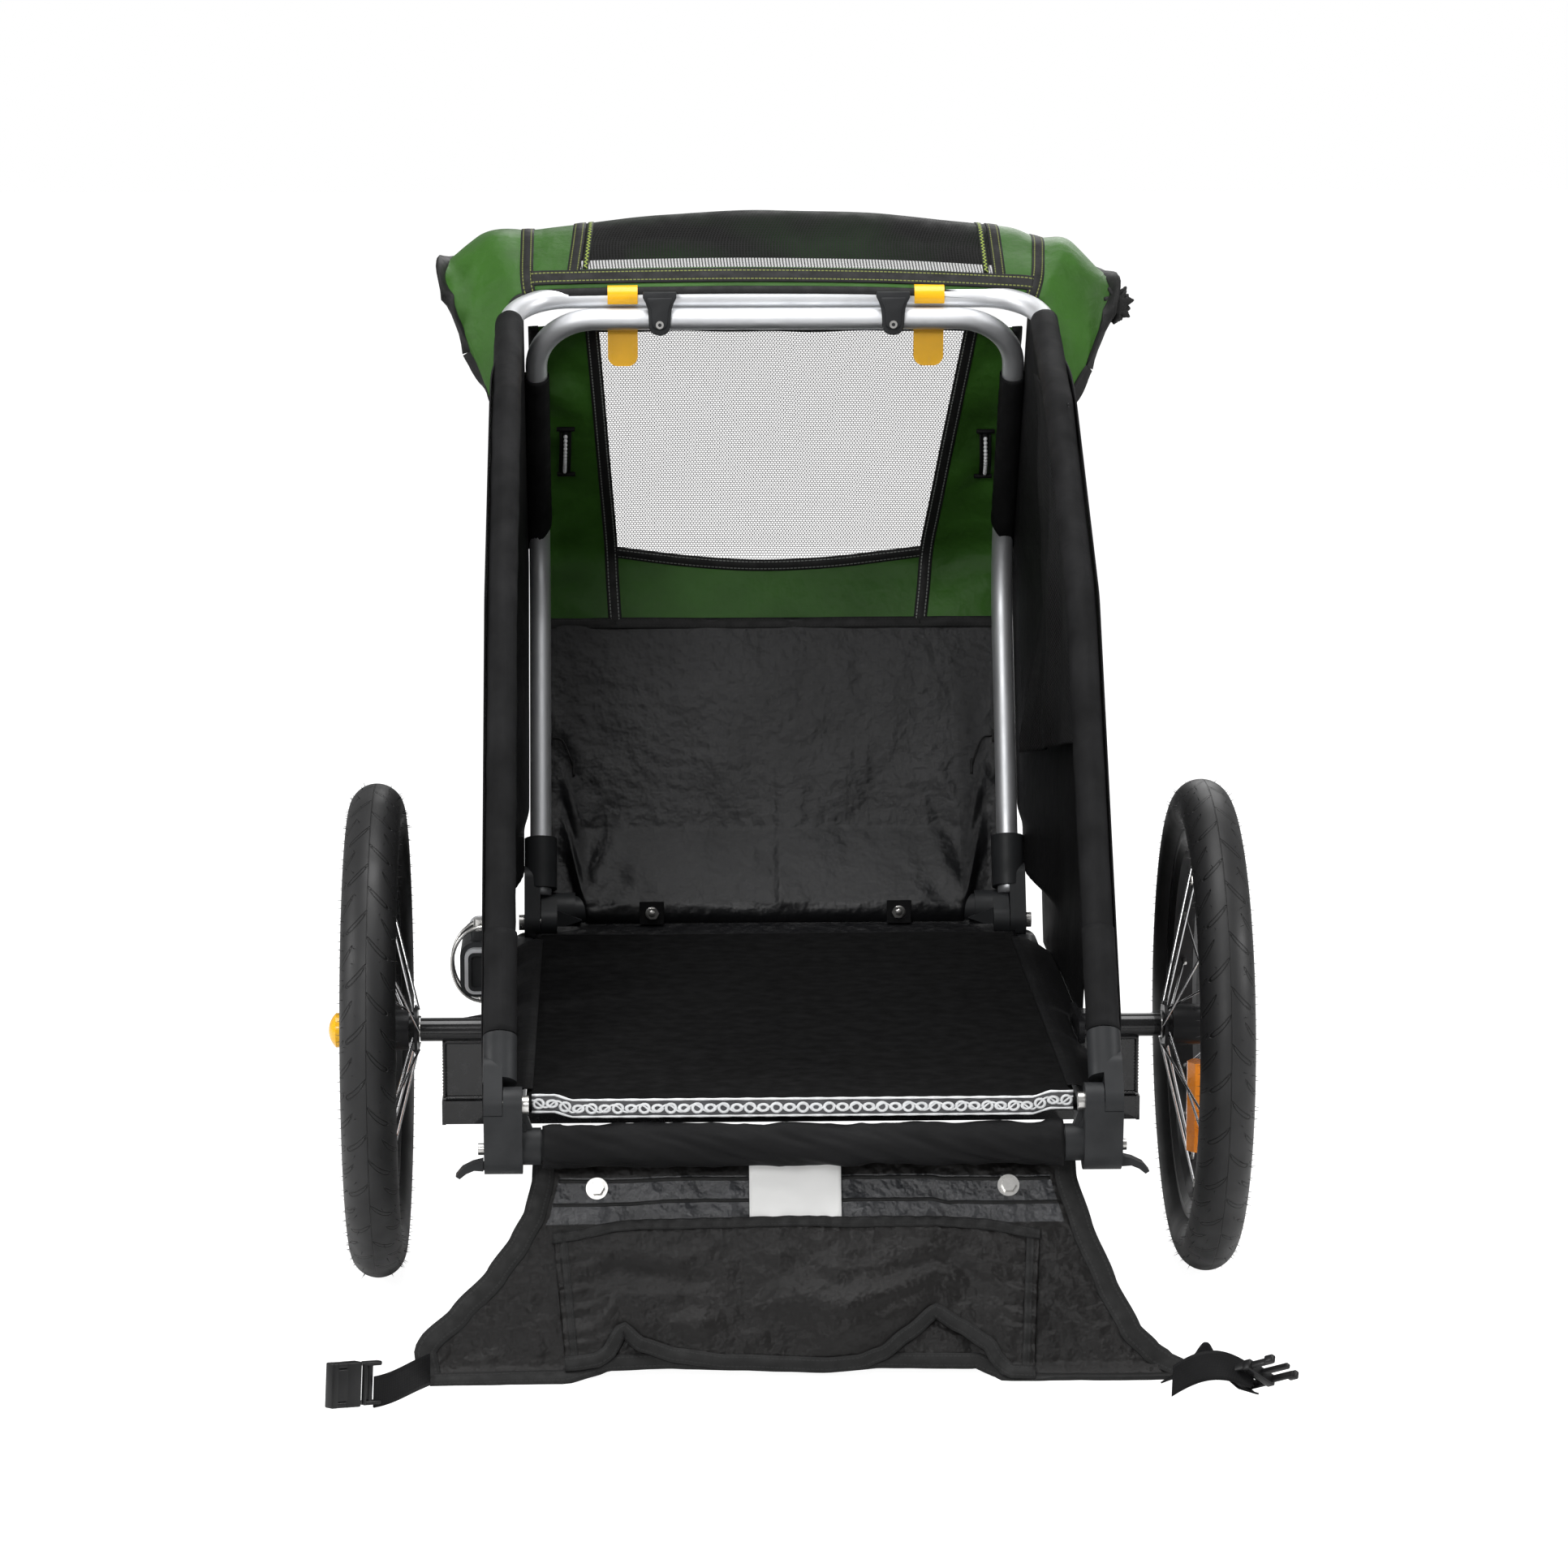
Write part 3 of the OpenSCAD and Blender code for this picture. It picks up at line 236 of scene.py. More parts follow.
def recoloured(tree, shader, share, colour):
    """Brings another colour into a finished surface, by a share that is a socket."""
    base = shader.inputs["Base Color"].links[0].from_socket
    tree.links.new(blended(tree, share, base, (*colour, 1)), shader.inputs["Base Color"])


def grid_faces(rows, columns):
    """Faces of an open sheet whose points run row by row."""
    corners = (j * (columns + 1) + i for j in range(rows) for i in range(columns))
    return [(k, k + 1, k + columns + 2, k + columns + 1) for k in corners]


def tube_faces(rings, sides, caps=True):
    """Faces of a tube whose points run ring by ring."""
    pairs = [(i * sides + k, i * sides + (k + 1) % sides) for i in range(rings - 1) for k in range(sides)]
    faces = [(a, b, b + sides, a + sides) for a, b in pairs]
    if caps:
        faces += [tuple(reversed(range(sides))), tuple(range((rings - 1) * sides, rings * sides))]
    return faces


def mesh_piece(name, points, faces, material, smooth=True, uv=None, kinds=None):
    """A mesh object at the origin. uv gives each vertex's place on the cloth, kinds each face's material."""
    data = bpy.data.meshes.new(name)
    data.from_pydata([tuple(p) for p in points], [], faces)
    piece = bpy.data.objects.new(name, data)
    bpy.context.collection.objects.link(piece)
    for m in material if isinstance(material, list) else [material]:
        data.materials.append(m)
    if uv:
        layer = data.uv_layers.new(name="cloth")
        for loop in data.loops:
            layer.data[loop.index].uv = uv[loop.vertex_index]
    if kinds:
        data.polygons.foreach_set("material_index", kinds)
    if smooth:
        data.polygons.foreach_set("use_smooth", [True] * len(data.polygons))
    data.update()
    return piece


def joined(name, pieces):
    """Several objects made one, under a new name."""
    pick(*pieces)
    bpy.ops.object.join()
    bpy.context.object.name = name
    return bpy.context.object


def settle(piece):
    """Moves the piece's place into its mesh."""
    pick(piece)
    bpy.ops.object.transform_apply(location=True, rotation=True, scale=True)
    return piece


def dress(node, material):
    """Gives a CAD piece its material."""
    data = frame["nodes"][node].data
    data.materials.clear()
    data.materials.append(material)


def build_tread():
    """Outlined sipes either side of a tyre's centre line, from a map in metres along the tyre and across it."""
    tree, given, out = group("tread", [("Vector", "Vector", None), ("Repeat", "Float", 0.0449)],
                             [("Groove", "Float")])
    parts = put(tree, "SeparateXYZ", {0: given["Vector"]}).outputs
    across = maths(tree, "ABSOLUTE", parts[1])
    hand = maths(tree, "MULTIPLY", maths(tree, "GREATER_THAN", parts[1], 0.0), 0.5)
    cuts = []
    # Each sipe's middle across the tyre, its place in the repeat, slope, half width and half length
    for middle, place, slope, half_width, half_length in (
        (0.0095, 0.0, -0.85, 0.0021, 0.0085),
        (0.0215, 0.36, -0.85, 0.0021, 0.0085),
        (0.0275, 0.82, -0.5, 0.0013, 0.006),
    ):
        reach = maths(tree, "SUBTRACT", across, middle)
        bow = maths(tree, "MULTIPLY", maths(tree, "MULTIPLY", reach, reach), 30.0)
        lean = maths(tree, "MULTIPLY_ADD", reach, slope, bow)
        shifted = maths(tree, "DIVIDE", maths(tree, "SUBTRACT", parts[0], lean), given["Repeat"])
        phase = maths(tree, "FRACT", maths(tree, "ADD", maths(tree, "ADD", shifted, hand), 0.5 - place))
        gap = maths(tree, "MULTIPLY", maths(tree, "SUBTRACT", phase, 0.5), given["Repeat"])
        wide = maths(tree, "DIVIDE", gap, half_width)
        long = maths(tree, "DIVIDE", reach, half_length)
        ring = maths(tree, "SQRT", maths(tree, "ADD", maths(tree, "POWER", maths(tree, "ABSOLUTE", wide), 2.0),
                                         maths(tree, "POWER", maths(tree, "ABSOLUTE", long), 4.0)))
        edge = maths(tree, "ABSOLUTE", maths(tree, "SUBTRACT", ring, 1.0))
        cuts.append(spread(tree, edge, 1.0, 0.0, 0.14, 0.34))
    middle_line = spread(tree, across, 0.35, 0.0, 0.0002, 0.0005)
    first_cuts = maths(tree, "MAXIMUM", cuts[0], cuts[1])
    deepest = maths(tree, "MAXIMUM", first_cuts, maths(tree, "MAXIMUM", cuts[2], middle_line))
    tree.links.new(deepest, out.inputs["Groove"])
    return tree


tread = build_tread()
rubber, tree, shader, bumps = finished(
    "tyre_rubber", (0.013, 0.013, 0.0135), 0.5, bump=0.3, depth=0.0004, scale=35, fine=900, vary=0.3)
shader.inputs["Specular IOR Level"].default_value = 0.4
tyre_repeats = 28
tyre_length = 2 * math.pi * 0.2
groove = use_group(tree, tread, {"Vector": uv_point(tree), "Repeat": tyre_length / tyre_repeats})["Groove"]
raised(tree, shader, bumps, groove, 1.0, 0.0022, invert=True)
# The sipes and the centre line are painted darker than the rubber round them: painted shade in the grooves.
recoloured(tree, shader, groove, (0.002, 0.002, 0.002))


def tyre_ring(node):
    """A tyre's middle, the radius of its section, and the radius of the circle that the section runs round."""
    low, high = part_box(node)
    radius = (high[0] - low[0]) / 2
    return (low[0] + high[0]) / 2, radius, (high[2] - low[2]) / 2 - radius


def tyre_mesh(name, node):
    """Carcass of a tyre that fills its node's box, open over the rim."""
    middle_x, radius, ring = tyre_ring(node)
    around, over, open_lean = 240, 56, 150
    points, uv = [], []
    for i in range(around + 1):
        turn = 2 * math.pi * i / around + math.radians(140)
        for j in range(over + 1):
            lean = math.radians(-open_lean + 2 * open_lean * j / over)
            # Two moulded ribs run round each side wall
            bulge = 0.0005 * max(0, 1 - abs(abs(lean) - 1.62) / 0.05)
            bulge += 0.0004 * max(0, 1 - abs(abs(lean) - 2.2) / 0.06)
            out = ring + (radius - 0.0006 + bulge) * math.cos(lean)
            points.append((middle_x + (radius - 0.0006 + bulge) * math.sin(lean), axle.y + out * math.sin(turn),
                           axle.z + out * math.cos(turn)))
            uv.append((tyre_length * i / around, radius * lean))
    return mesh_piece(name, points, grid_faces(around, over), rubber, uv=uv)


def rubber_hairs(name, node, seed):
    """Fine hairs of rubber that the mould's vents leave on the shoulders and side walls."""
    middle_x, radius, ring = tyre_ring(node)
    chance = random.Random(seed)
    points, faces = [], []
    for lean, count in ((90, 150), (-90, 150), (58, 84), (-58, 84), (28, 42), (-28, 42)):
        for i in range(count):
            turn = 2 * math.pi * (i + chance.random() * 0.8) / count
            tilt = math.radians(lean + chance.uniform(-5, 5))
            out = Vector((math.sin(tilt), math.cos(tilt) * math.sin(turn), math.cos(tilt) * math.cos(turn)))
            foot = Vector((middle_x, axle.y + ring * math.sin(turn), axle.z + ring * math.cos(turn))) \
                + out * (radius - 0.0012)
            droop = Vector((chance.uniform(-1, 1), chance.uniform(-1, 1), chance.uniform(-1, 0.6))) * 0.0013
            tip = foot + out * chance.uniform(0.0030, 0.0050) + droop
            if tip.z < 0.001:
                continue
            side = out.cross(Vector((1, 0.3, 0.2))).normalized() * 0.00034
            other = out.cross(side).normalized() * 0.00034
            first = len(points)
            points += [foot + side, foot - side * 0.5 + other, foot - side * 0.5 - other, tip]
            faces += [(first + a, first + b, first + 3) for a, b in ((0, 1), (1, 2), (2, 0))]
    return mesh_piece(name, points, faces, rubber, smooth=False)


for side, seed in (("left", 5), ("right", 8)):
    tyre = joined(side + "_tyre_dressed", [tyre_mesh(side + "_carcass", side + "_tyre"),
                                           rubber_hairs(side + "_hairs", side + "_tyre", seed)])
    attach(tyre, side + "_wheel")
    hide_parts(side + "_tyre")
    dress(side + "_inner_tube", rubber)


# ---- Rims, hubs and stub axles ----
# Black anodised double-wall rims, black hub shells with drilled flanges, and zinc-plated stub axles.
# Each spoke's nipple stands out of the rim's inner wall, and a plated valve stem passes through it.
anodised = finished("black_anodised", (0.02, 0.02, 0.021), 0.34, 0.55, bump=0.06, scale=60, fine=1400)[0]
hub_black = finished("hub_black", (0.018, 0.018, 0.019), 0.3, 0.3, bump=0.05, scale=60, fine=1200)[0]
zinc = finished("zinc_plate", (0.62, 0.61, 0.59), 0.3, 1.0, bump=0.08, scale=140, fine=1800, vary=0.15)[0]
for side in ("left", "right"):
    dress(side + "_rim", anodised)
    dress(side + "_hub", hub_black)
    dress(side + "_stub_axle", zinc)


# ---- Spokes ----
# Twenty bright drawn-steel spokes a wheel, hooked through the flanges and crossing close to the hub.
# Each is held at the rim by a threaded nipple, which is the piece added here.
def sweep(name, line, radius, material, sides=16, caps=True):
    """A tube along a line of points. radius is a number, or a function of the share along and the angle round.
    Its cloth map runs in metres along the tube and round it."""
    line = [Vector(p) for p in line]
    count = len(line)
    points, uv, run = [], [], 0.0
    way = (line[1] - line[0]).normalized()
    side = way.cross(Vector((0, 0, 1)) if abs(way.z) < 0.9 else Vector((1, 0, 0))).normalized()
    for i, p in enumerate(line):
        before, after = line[max(0, i - 1)], line[min(count - 1, i + 1)]
        way = (after - before).normalized()
        side = (side - way * side.dot(way)).normalized()
        other = way.cross(side)
        run += (p - before).length if i else 0.0
        for k in range(sides):
            angle = 2 * math.pi * k / sides
            r = radius(i / (count - 1), angle) if callable(radius) else radius
            points.append(p + (side * math.cos(angle) + other * math.sin(angle)) * r)
            uv.append((run, angle * 0.01))
    return mesh_piece(name, points, tube_faces(count, sides, caps), material, uv=uv)


both_sides = (("left", -1), ("right", 1))
drawn_steel = finished("drawn_steel", (0.7, 0.7, 0.71), 0.2, 1.0, bump=0.03, scale=200, fine=1500, vary=0.1)[0]
nipple_radii, valve_radii = (0.0012, 0.0018, 0.0019, 0.0026, 0.0027), (0.003, 0.003, 0.0042, 0.0036)
for side, sign in both_sides:
    dress(side + "_spokes", drawn_steel)
    low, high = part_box(side + "_rim")
    middle = (low[0] + high[0]) / 2
    rim_floor = (high[2] - low[2]) / 2 - 0.008
    nipples = []
    for k in range(20):
        pair, hand = k // 2, (-1, 1)[k % 2]
        turn = math.radians(36 * pair + hand * 9)
        out = Vector((0, math.cos(turn), math.sin(turn)))
        hub_side = Vector((middle + sign * hand * 0.001, axle.y, axle.z))
        foot, tip = hub_side + out * (rim_floor - 0.013), hub_side + out * (rim_floor + 0.001)
        steps = [foot.lerp(tip, t) for t in (0, 0.12, 0.6, 0.7, 1)]
        nipples.append(sweep("nipple", steps, lambda t, a: nipple_radii[round(t * 4)], zinc, sides=8))
    hub_middle = Vector((middle, axle.y, axle.z))
    stem = [hub_middle + Vector((0, 0, rim_floor + d)) for d in (0.002, -0.018, -0.02, -0.031)]
    nipples.append(sweep("valve", stem, lambda t, a: valve_radii[round(t * 3)], zinc, sides=12))
    nipples = joined(side + "_nipples", nipples)
    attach(nipples, side + "_wheel")

# ---- Spoke reflectors ----
# Two-faced reflectors of orange acrylic, moulded with a prism pattern and clipped between the spokes.
acrylic, tree, shader, bumps = finished(
    "orange_acrylic", (0.93, 0.26, 0.02), 0.16, bump=0.1, scale=30, fine=400, vary=0.25)
shader.inputs["Coat Weight"].default_value = 1.0
# The faint orange emission is a painted glow: the reflectors are no lamp.
shader.inputs["Emission Color"].default_value = (1.0, 0.28, 0.02, 1)
shader.inputs["Emission Strength"].default_value = 0.12
prisms = put(tree, "TexVoronoi", {"Vector": object_point(tree), "Scale": 420.0}, distance="CHEBYCHEV")
tree.links.new(prisms.outputs["Distance"], bumps.inputs["Height"])
bumps.inputs["Strength"].default_value = 0.7
bumps.inputs["Distance"].default_value = 0.001
for side in ("left", "right"):
    dress(side + "_reflector", acrylic)

# ---- Wheel release buttons ----
# Domed push buttons of glossy yellow plastic on the end of each stub axle. The latches that clip the two
# crossbars together are of the same plastic.
yellow = finished("yellow_plastic", (0.9, 0.47, 0.008), 0.26, bump=0.05, scale=50, fine=900, vary=0.07,
                  **{"Coat Weight": 0.4})[0]
for node in ("left_button", "right_button", "left_latch", "right_latch"):
    dress(node, yellow)

# ---- Axle unit ----
# Welded steel brackets and a square cross tube, powder coated glossy black. The weld beads show as
# rippled ropes along each seam.
powder = finished("black_powder_coat", (0.012, 0.012, 0.013), 0.22, bump=0.12, depth=0.0003, scale=160, fine=700,
                  vary=0.3, **{"Coat Weight": 0.5})[0]
for node in ("left_axle_bracket", "right_axle_bracket", "axle_cross_tube"):
    dress(node, powder)
over_cross, under_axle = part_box("axle_cross_tube")[1][2] + 0.0006, axle.z - 0.0094
# Each seam's end points: distance out, distance ahead of the axle, height
weld_seams = [((0.240, y, over_cross), (0.280, y, over_cross)) for y in (-0.0036, 0.0036)]
weld_seams += [((0.241, y, under_axle), (0.280, y, under_axle)) for y in (-0.0038, 0.0038)]
weld_seams += [((0.2806, -0.002, axle.z - 0.056), (0.2806, -0.002, axle.z - 0.009))]
for side, sign in both_sides:
    beads = []
    for seam in weld_seams:
        start, end = (Vector((sign * x, axle.y + y, z)) for x, y, z in seam)
        line = [start.lerp(end, k / 36) for k in range(37)]
        beads.append(sweep("bead", line, lambda t, a: 0.0019 + 0.0005 * math.sin(t * 110), powder, sides=8))
    beads = joined(side + "_weld_beads", beads)
    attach(beads, "base")

# ---- Base frame ----
# Satin anodised aluminium rails and black cross tubes, held by knuckles of glass-filled black nylon.
brushed = finished("satin_aluminium", (0.76, 0.77, 0.79), 0.50, 0.9, bump=0.05, scale=40, fine=900, vary=0.05)[0]
nylon = finished("glass_filled_nylon", (0.020, 0.021, 0.0225), 0.5, bump=0.22, depth=0.0003, scale=50, fine=1300,
                 vary=0.18)[0]
for node in ("left_side_rail", "right_side_rail", "tow_receiver"):
    dress(node, brushed)
for part in ("rear_knuckle", "front_knuckle", "release_plunger", "hoop_socket", "front_socket"):
    for side in ("left", "right"):
        dress(side + "_" + part, nylon)
for node in ("receiver_bracket", "receiver_plug", "rear_cross_tube", "front_cross_tube", "floor_board"):
    dress(node, nylon)
for node in ("pivot_pins", "frame_bolts", "gate_bolts", "hitch_pin"):
    dress(node, zinc)


# ---- Hoops ----
# Two hoops of 19 mm anodised aluminium tube, bent round at the legs and corners.
def polar(length, angle):
    return Vector((0, math.cos(math.radians(angle)), math.sin(math.radians(angle)))) * length / 1000


rear_tilt, rise_tilt, front_tilt, top_tilt = 54.1, 31.6, 66.6, 123.75
nose_run = 330  # from the front hinges up to the nose, in millimetres
rear_foot = Vector((0, *pivots["rear_fold"][1:]))
front_foot = Vector((0, *pivots["front_fold"][1:]))
rear_bend = rear_foot + polar(430, rear_tilt)
rear_shoulder = rear_bend + polar(256, rise_tilt)
nose = front_foot + polar(nose_run, front_tilt)
front_bar = nose + polar(282.5, top_tilt)
rear_bar = front_bar + polar(20.6, 61)
rear_x, front_x, hoop_r = 0.230, 0.2085, 0.0095


def beside(x, p):
    return Vector((x, p.y, p.z))


def rounded(path, bends, step=6):
    """Points along a path whose corners are rounded to the given radii, in metres."""
    line = [path[0]]
    for p, q, r, bend in zip(path, path[1:], path[2:], bends):
        a, b = (q - p).normalized(), (r - q).normalized()
        turn = a.angle(b)
        toward = (b - a * a.dot(b)).normalized()
        start = q - a * bend * math.tan(turn / 2)
        steps = max(2, math.ceil(math.degrees(turn) / step))
        for k in range(steps + 1):
            t = turn * k / steps
            line.append(start + toward * bend + bend * (a * math.sin(t) - toward * math.cos(t)))
    line.append(path[-1])
    return line


def evened(line, gap):
    """The same line with its points a set gap apart."""
    out, left = [line[0]], gap
    for p, q in zip(line, line[1:]):
        length, done = (q - p).length, 0.0
        while length - done >= left:
            done += left
            out.append(p.lerp(q, done / length))
            left = gap
        left -= length - done
    if (out[-1] - line[-1]).length > gap * 0.3:
        out.append(line[-1])
    return out


def hoop_line(x, bar, leg, bends):
    path = [beside(x, p) for p in reversed(leg)] + [beside(x, bar), beside(-x, bar)]
    path += [beside(-x, p) for p in leg]
    return evened(rounded(path, bends), 0.006)


rear_leg = [rear_shoulder, rear_bend, rear_foot + polar(24, rear_tilt)]
front_leg = [nose, front_foot + polar(24, front_tilt)]
rear_bends = [0.11, 0.11, 0.052, 0.052, 0.11, 0.11]
front_bends = [0.11, 0.052, 0.052, 0.11]
for hoop, line in (("rear_hoop", hoop_line(rear_x, rear_bar, rear_leg, rear_bends)),
                   ("front_hoop", hoop_line(front_x, front_bar, front_leg, front_bends))):
    tube = sweep(hoop + "_tube", line, hoop_r, brushed, sides=28)
    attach(tube, hoop)
    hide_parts(hoop)


# ---- Bar saddles ----
# Two moulded black saddles that seat the rear crossbar over the front one: ears under the upper bar, a waist,
# and a rounded foot with a small zinc screw.
def softened(piece, width, segments=3, limit="ANGLE", smooth=True):
    """Rounds a piece's edges, smooths its shading and moves its place into its mesh."""
    pick(piece)
    soften = piece.modifiers.new("edge", "BEVEL")
    soften.width, soften.segments, soften.limit_method = width, segments, limit
    bpy.ops.object.modifier_apply(modifier="edge")
    if smooth:
        bpy.ops.object.shade_smooth_by_angle(angle=math.radians(40))
    return settle(piece)


def block(middle, size, material, width, **rounding):
    """A box with rounded edges."""
    bpy.ops.mesh.primitive_cube_add(size=1, location=middle)
    piece = bpy.context.object
    piece.scale = size
    bpy.ops.object.transform_apply(location=False, rotation=False, scale=True)
    piece.data.materials.append(material)
    return softened(piece, width, **rounding)


def disc(middle, radius, length, sides, material):
    """A short cylinder whose axis runs forward."""
    bpy.ops.mesh.primitive_cylinder_add(vertices=sides, radius=radius, depth=length, location=middle,
                                        rotation=(math.pi / 2, 0, 0))
    piece = bpy.context.object
    piece.data.materials.append(material)
    return piece


saddle_low, saddle_high = (Vector(p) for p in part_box("saddles"))
saddle_y, saddle_x = saddle_low.y, saddle_high.x - 0.0145
outline = [(-14.5, 766), (-14.5, 761), (-12.2, 756.5), (-10.4, 751), (-9.7, 744), (-9.4, 737), (-8.2, 732.2),
           (-5.2, 729.4), (0, 728.4)]
outline = outline + [(-x, z) for x, z in reversed(outline[:-1])]
saddles = []
for x in (-saddle_x, saddle_x):
    for depth, inset in ((0.0, 1.0), (-0.0012, 0.74)):
        front = [Vector((x + a / 1000 * inset, saddle_y + depth, (z - 747) / 1000 * inset + 0.747 + drawn_lift))
                 for a, z in outline]
        back = [p + Vector((0, 0.0095, 0)) for p in front]
        n = len(front)
        faces = [tuple(range(n)), tuple(reversed(range(n, 2 * n)))]
        faces += [(k, n + k, n + (k + 1) % n, (k + 1) % n) for k in range(n)]
        saddles.append(softened(mesh_piece("saddle_body", front + back, faces, nylon, smooth=False), 0.0009))
    # The screw's head and the socket in it
    for y, radius, length, sides, material in ((-0.0012, 0.0034, 0.0024, 24, zinc),
                                               (-0.0025, 0.0017, 0.0012, 6, nylon)):
        middle = (x, saddle_y + y, 0.7378 + drawn_lift)
        saddles.append(settle(disc(middle, radius, length, sides, material)))
saddles = joined("bar_saddles", saddles)
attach(saddles, "front_hoop")
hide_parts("saddles")


# ---- Pin bail ----
# A round bail of doubled spring wire on the hitch pin's head, snapped under the pin's tip.
pin_low, pin_high = (Vector(p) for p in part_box("hitch_pin"))
bail_low, bail_high = (Vector(p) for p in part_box("pin_bail"))
pin_mid = (pin_low + pin_high) / 2
wires = []
for hand in (-1, 1):
    ring = []
    for k in range(29):
        t = k / 28
        turn = math.radians(78 + 204 * t)
        reach = pin_mid.x - bail_low.x - 0.0016
        x = pin_mid.x + 0.001 + reach * math.cos(turn) * (1.0 if math.cos(turn) < 0 else 0.3)
        z = (bail_low.z + bail_high.z) / 2 + (bail_high.z - bail_low.z - 0.0034) / 2 * math.sin(turn)
        gap = 0.0112 - 0.0055 * t * t
        ring.append(Vector((x, pin_mid.y + hand * gap, z)))
    wires.append(sweep("bail_wire", ring, 0.00145, zinc, sides=12))
end = ring[-1]
tip = [Vector((end.x + x, pin_mid.y + y, end.z + z)) for x, y, z in (
    (0, 0.0057, 0), (0.004, 0.003, 0.0006), (0.004, -0.003, 0.0006), (0, -0.0057, 0))]
wires.append(sweep("bail_tip", tip, 0.00145, zinc, sides=12))
bail = joined("bail_ring", wires)
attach(bail, "bail")
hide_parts("pin_bail")


# ---- Hoop sleeves ----
# Black nylon sleeves sewn round the hoop legs, a little loose, with a seam up the inside and a doubled cuff.
def build_weave():
    """Woven cloth: raised warp and weft from the cloth map, in metres."""
    tree, given, out = group(
        "weave", [("Vector", "Vector", None), ("Threads", "Float", 1400.0)], [("Height", "Float"), ("Tone", "Float")])
    scaled = put(tree, "VectorMath", {0: given["Vector"], "Scale": given["Threads"]}, operation="SCALE").outputs[0]
    parts = put(tree, "SeparateXYZ", {0: scaled}).outputs
    warp = maths(tree, "ABSOLUTE", maths(tree, "SINE", maths(tree, "MULTIPLY", parts[0], math.pi)))
    weft = maths(tree, "ABSOLUTE", maths(tree, "SINE", maths(tree, "MULTIPLY", parts[1], math.pi)))
    over = maths(tree, "MULTIPLY", warp, weft)
    tree.links.new(over, out.inputs["Height"])
    tree.links.new(maths(tree, "MULTIPLY_ADD", over, 0.5, 0.5), out.inputs["Tone"])
    return tree


weave = build_weave()


def woven(name, colour, rough, threads=1400.0, creases=14.0, crease_depth=0.004, strength=0.5, vary=0.25,
          gloss=0.1):
    """Cloth with its weave and soft creases, its colour darker in the creases' hollows and lighter on their ridges:
    painted shade and highlight.
    """
    material, tree, shader, bumps = finished(name, colour, rough, bump=strength, depth=crease_depth,
                                             scale=creases, fine=90.0, vary=vary, gloss=gloss)
    threads = use_group(tree, weave, {"Vector": uv_point(tree), "Threads": threads})
    raised(tree, shader, bumps, threads["Height"], 0.35, 0.00025)
    return material


sleeve_cloth = woven("sleeve_nylon", (0.009, 0.009, 0.0095), 0.62, creases=28, crease_depth=0.0012, vary=0.35)
black_nylon = woven("black_nylon", (0.009, 0.009, 0.0095), 0.6, creases=9, crease_depth=0.005)
webbing = woven("black_webbing", (0.008, 0.008, 0.0085), 0.55, threads=500.0, creases=30, crease_depth=0.0008)


def cut_line(line, start, end):
    """The stretch of a line between two distances along it, in metres."""
    out, run = [], 0.0
    for p, q in zip(line, line[1:]):
        if start <= run <= end:
            out.append(p)
        run += (q - p).length
    return out


def thicken(cloth, thickness, offset=0.0):
    """Gives a sheet its thickness: offset 1 builds it outward, -1 inward and 0 both ways."""
    solid = cloth.modifiers.new("thickness", "SOLIDIFY")
    solid.thickness, solid.offset = thickness, offset


def noise_at(x, y, z):
    return noise.noise(Vector((x, y, z)))


def wrinkled(base, amount, seed, seam=0.0):
    """The radius of a cloth tube with soft wrinkles, and a seam's ridge along it."""
    def radius(t, a):
        n = noise_at(math.cos(a) * 1.2, math.sin(a) * 1.2, t * 26 + seed)
        fine = noise_at(math.cos(a) * 3, math.sin(a) * 3, t * 80 + seed)
        ridge = seam * max(0, 1 - abs(a - math.pi) / 0.25)
        return base + amount * (n + 0.35 * fine) + ridge
    return radius


for side, sign in both_sides:
    sleeve_end = rear_bar - (rear_bar - rear_shoulder).normalized() * 0.05
    corners = (rear_foot + polar(57, rear_tilt), rear_bend, rear_shoulder, sleeve_end)
    leg = evened(rounded([beside(sign * rear_x, p) for p in corners], [0.11, 0.11], 4), 0.005)
    cover = sweep(side + "_sleeve_tube", leg, wrinkled(0.01175, 0.0006, sign * 5, 0.0007), sleeve_cloth, sides=28,
                  caps=False)
    length = sum((q - p).length for p, q in zip(leg, leg[1:]))
    cuff = sweep(side + "_cuff", cut_line(leg, 0.0, 0.088), wrinkled(0.0129, 0.0004, 9 + sign), sleeve_cloth,
                 sides=28, caps=False)
    cover = joined(side + "_sleeve", [cover, cuff])
    thicken(cover, 0.0008, -1)
    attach(cover, "rear_hoop")
    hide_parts(side + "_hoop_sleeve")


# ---- Floor mat ----
# A needle-felt mat over the floor board, bound along its rear edge with a silver reflective braid:
# two bright cords with a row of pale lace eyes between them.
def flat_grid(name, columns, rows, shape, material, kinds=None, solid=0.0, offset=0.0):
    """A sheet of cloth over a grid: shape(u, v) gives a point for u and v from 0 to 1."""
    points = [shape(i / columns, j / rows) for j in range(rows + 1) for i in range(columns + 1)]
    uv = []
    for j in range(rows + 1):
        for i in range(columns + 1):
            k = j * (columns + 1) + i
            u = 0.0 if i == 0 else uv[-1][0] + (points[k] - points[k - 1]).length
            v = 0.0 if j == 0 else uv[k - columns - 1][1] + (points[k] - points[k - columns - 1]).length
            uv.append((u, v))
    centres = [((i + 0.5) / columns, (j + 0.5) / rows) for j in range(rows) for i in range(columns)]
    marks = [kinds(u, v) for u, v in centres] if kinds else None
    piece = mesh_piece(name, points, grid_faces(rows, columns), material, uv=uv, kinds=marks)
    if solid:
        thicken(piece, solid, offset)
    return piece


felt = finished("needle_felt", (0.0035, 0.0035, 0.0037), 0.95, bump=0.6, depth=0.0015, scale=70, fine=1500,
                vary=0.5, gloss=0.03, **{"Sheen Weight": 0.02})[0]
mat_low, mat_high = (Vector(p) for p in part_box("floor_mat"))


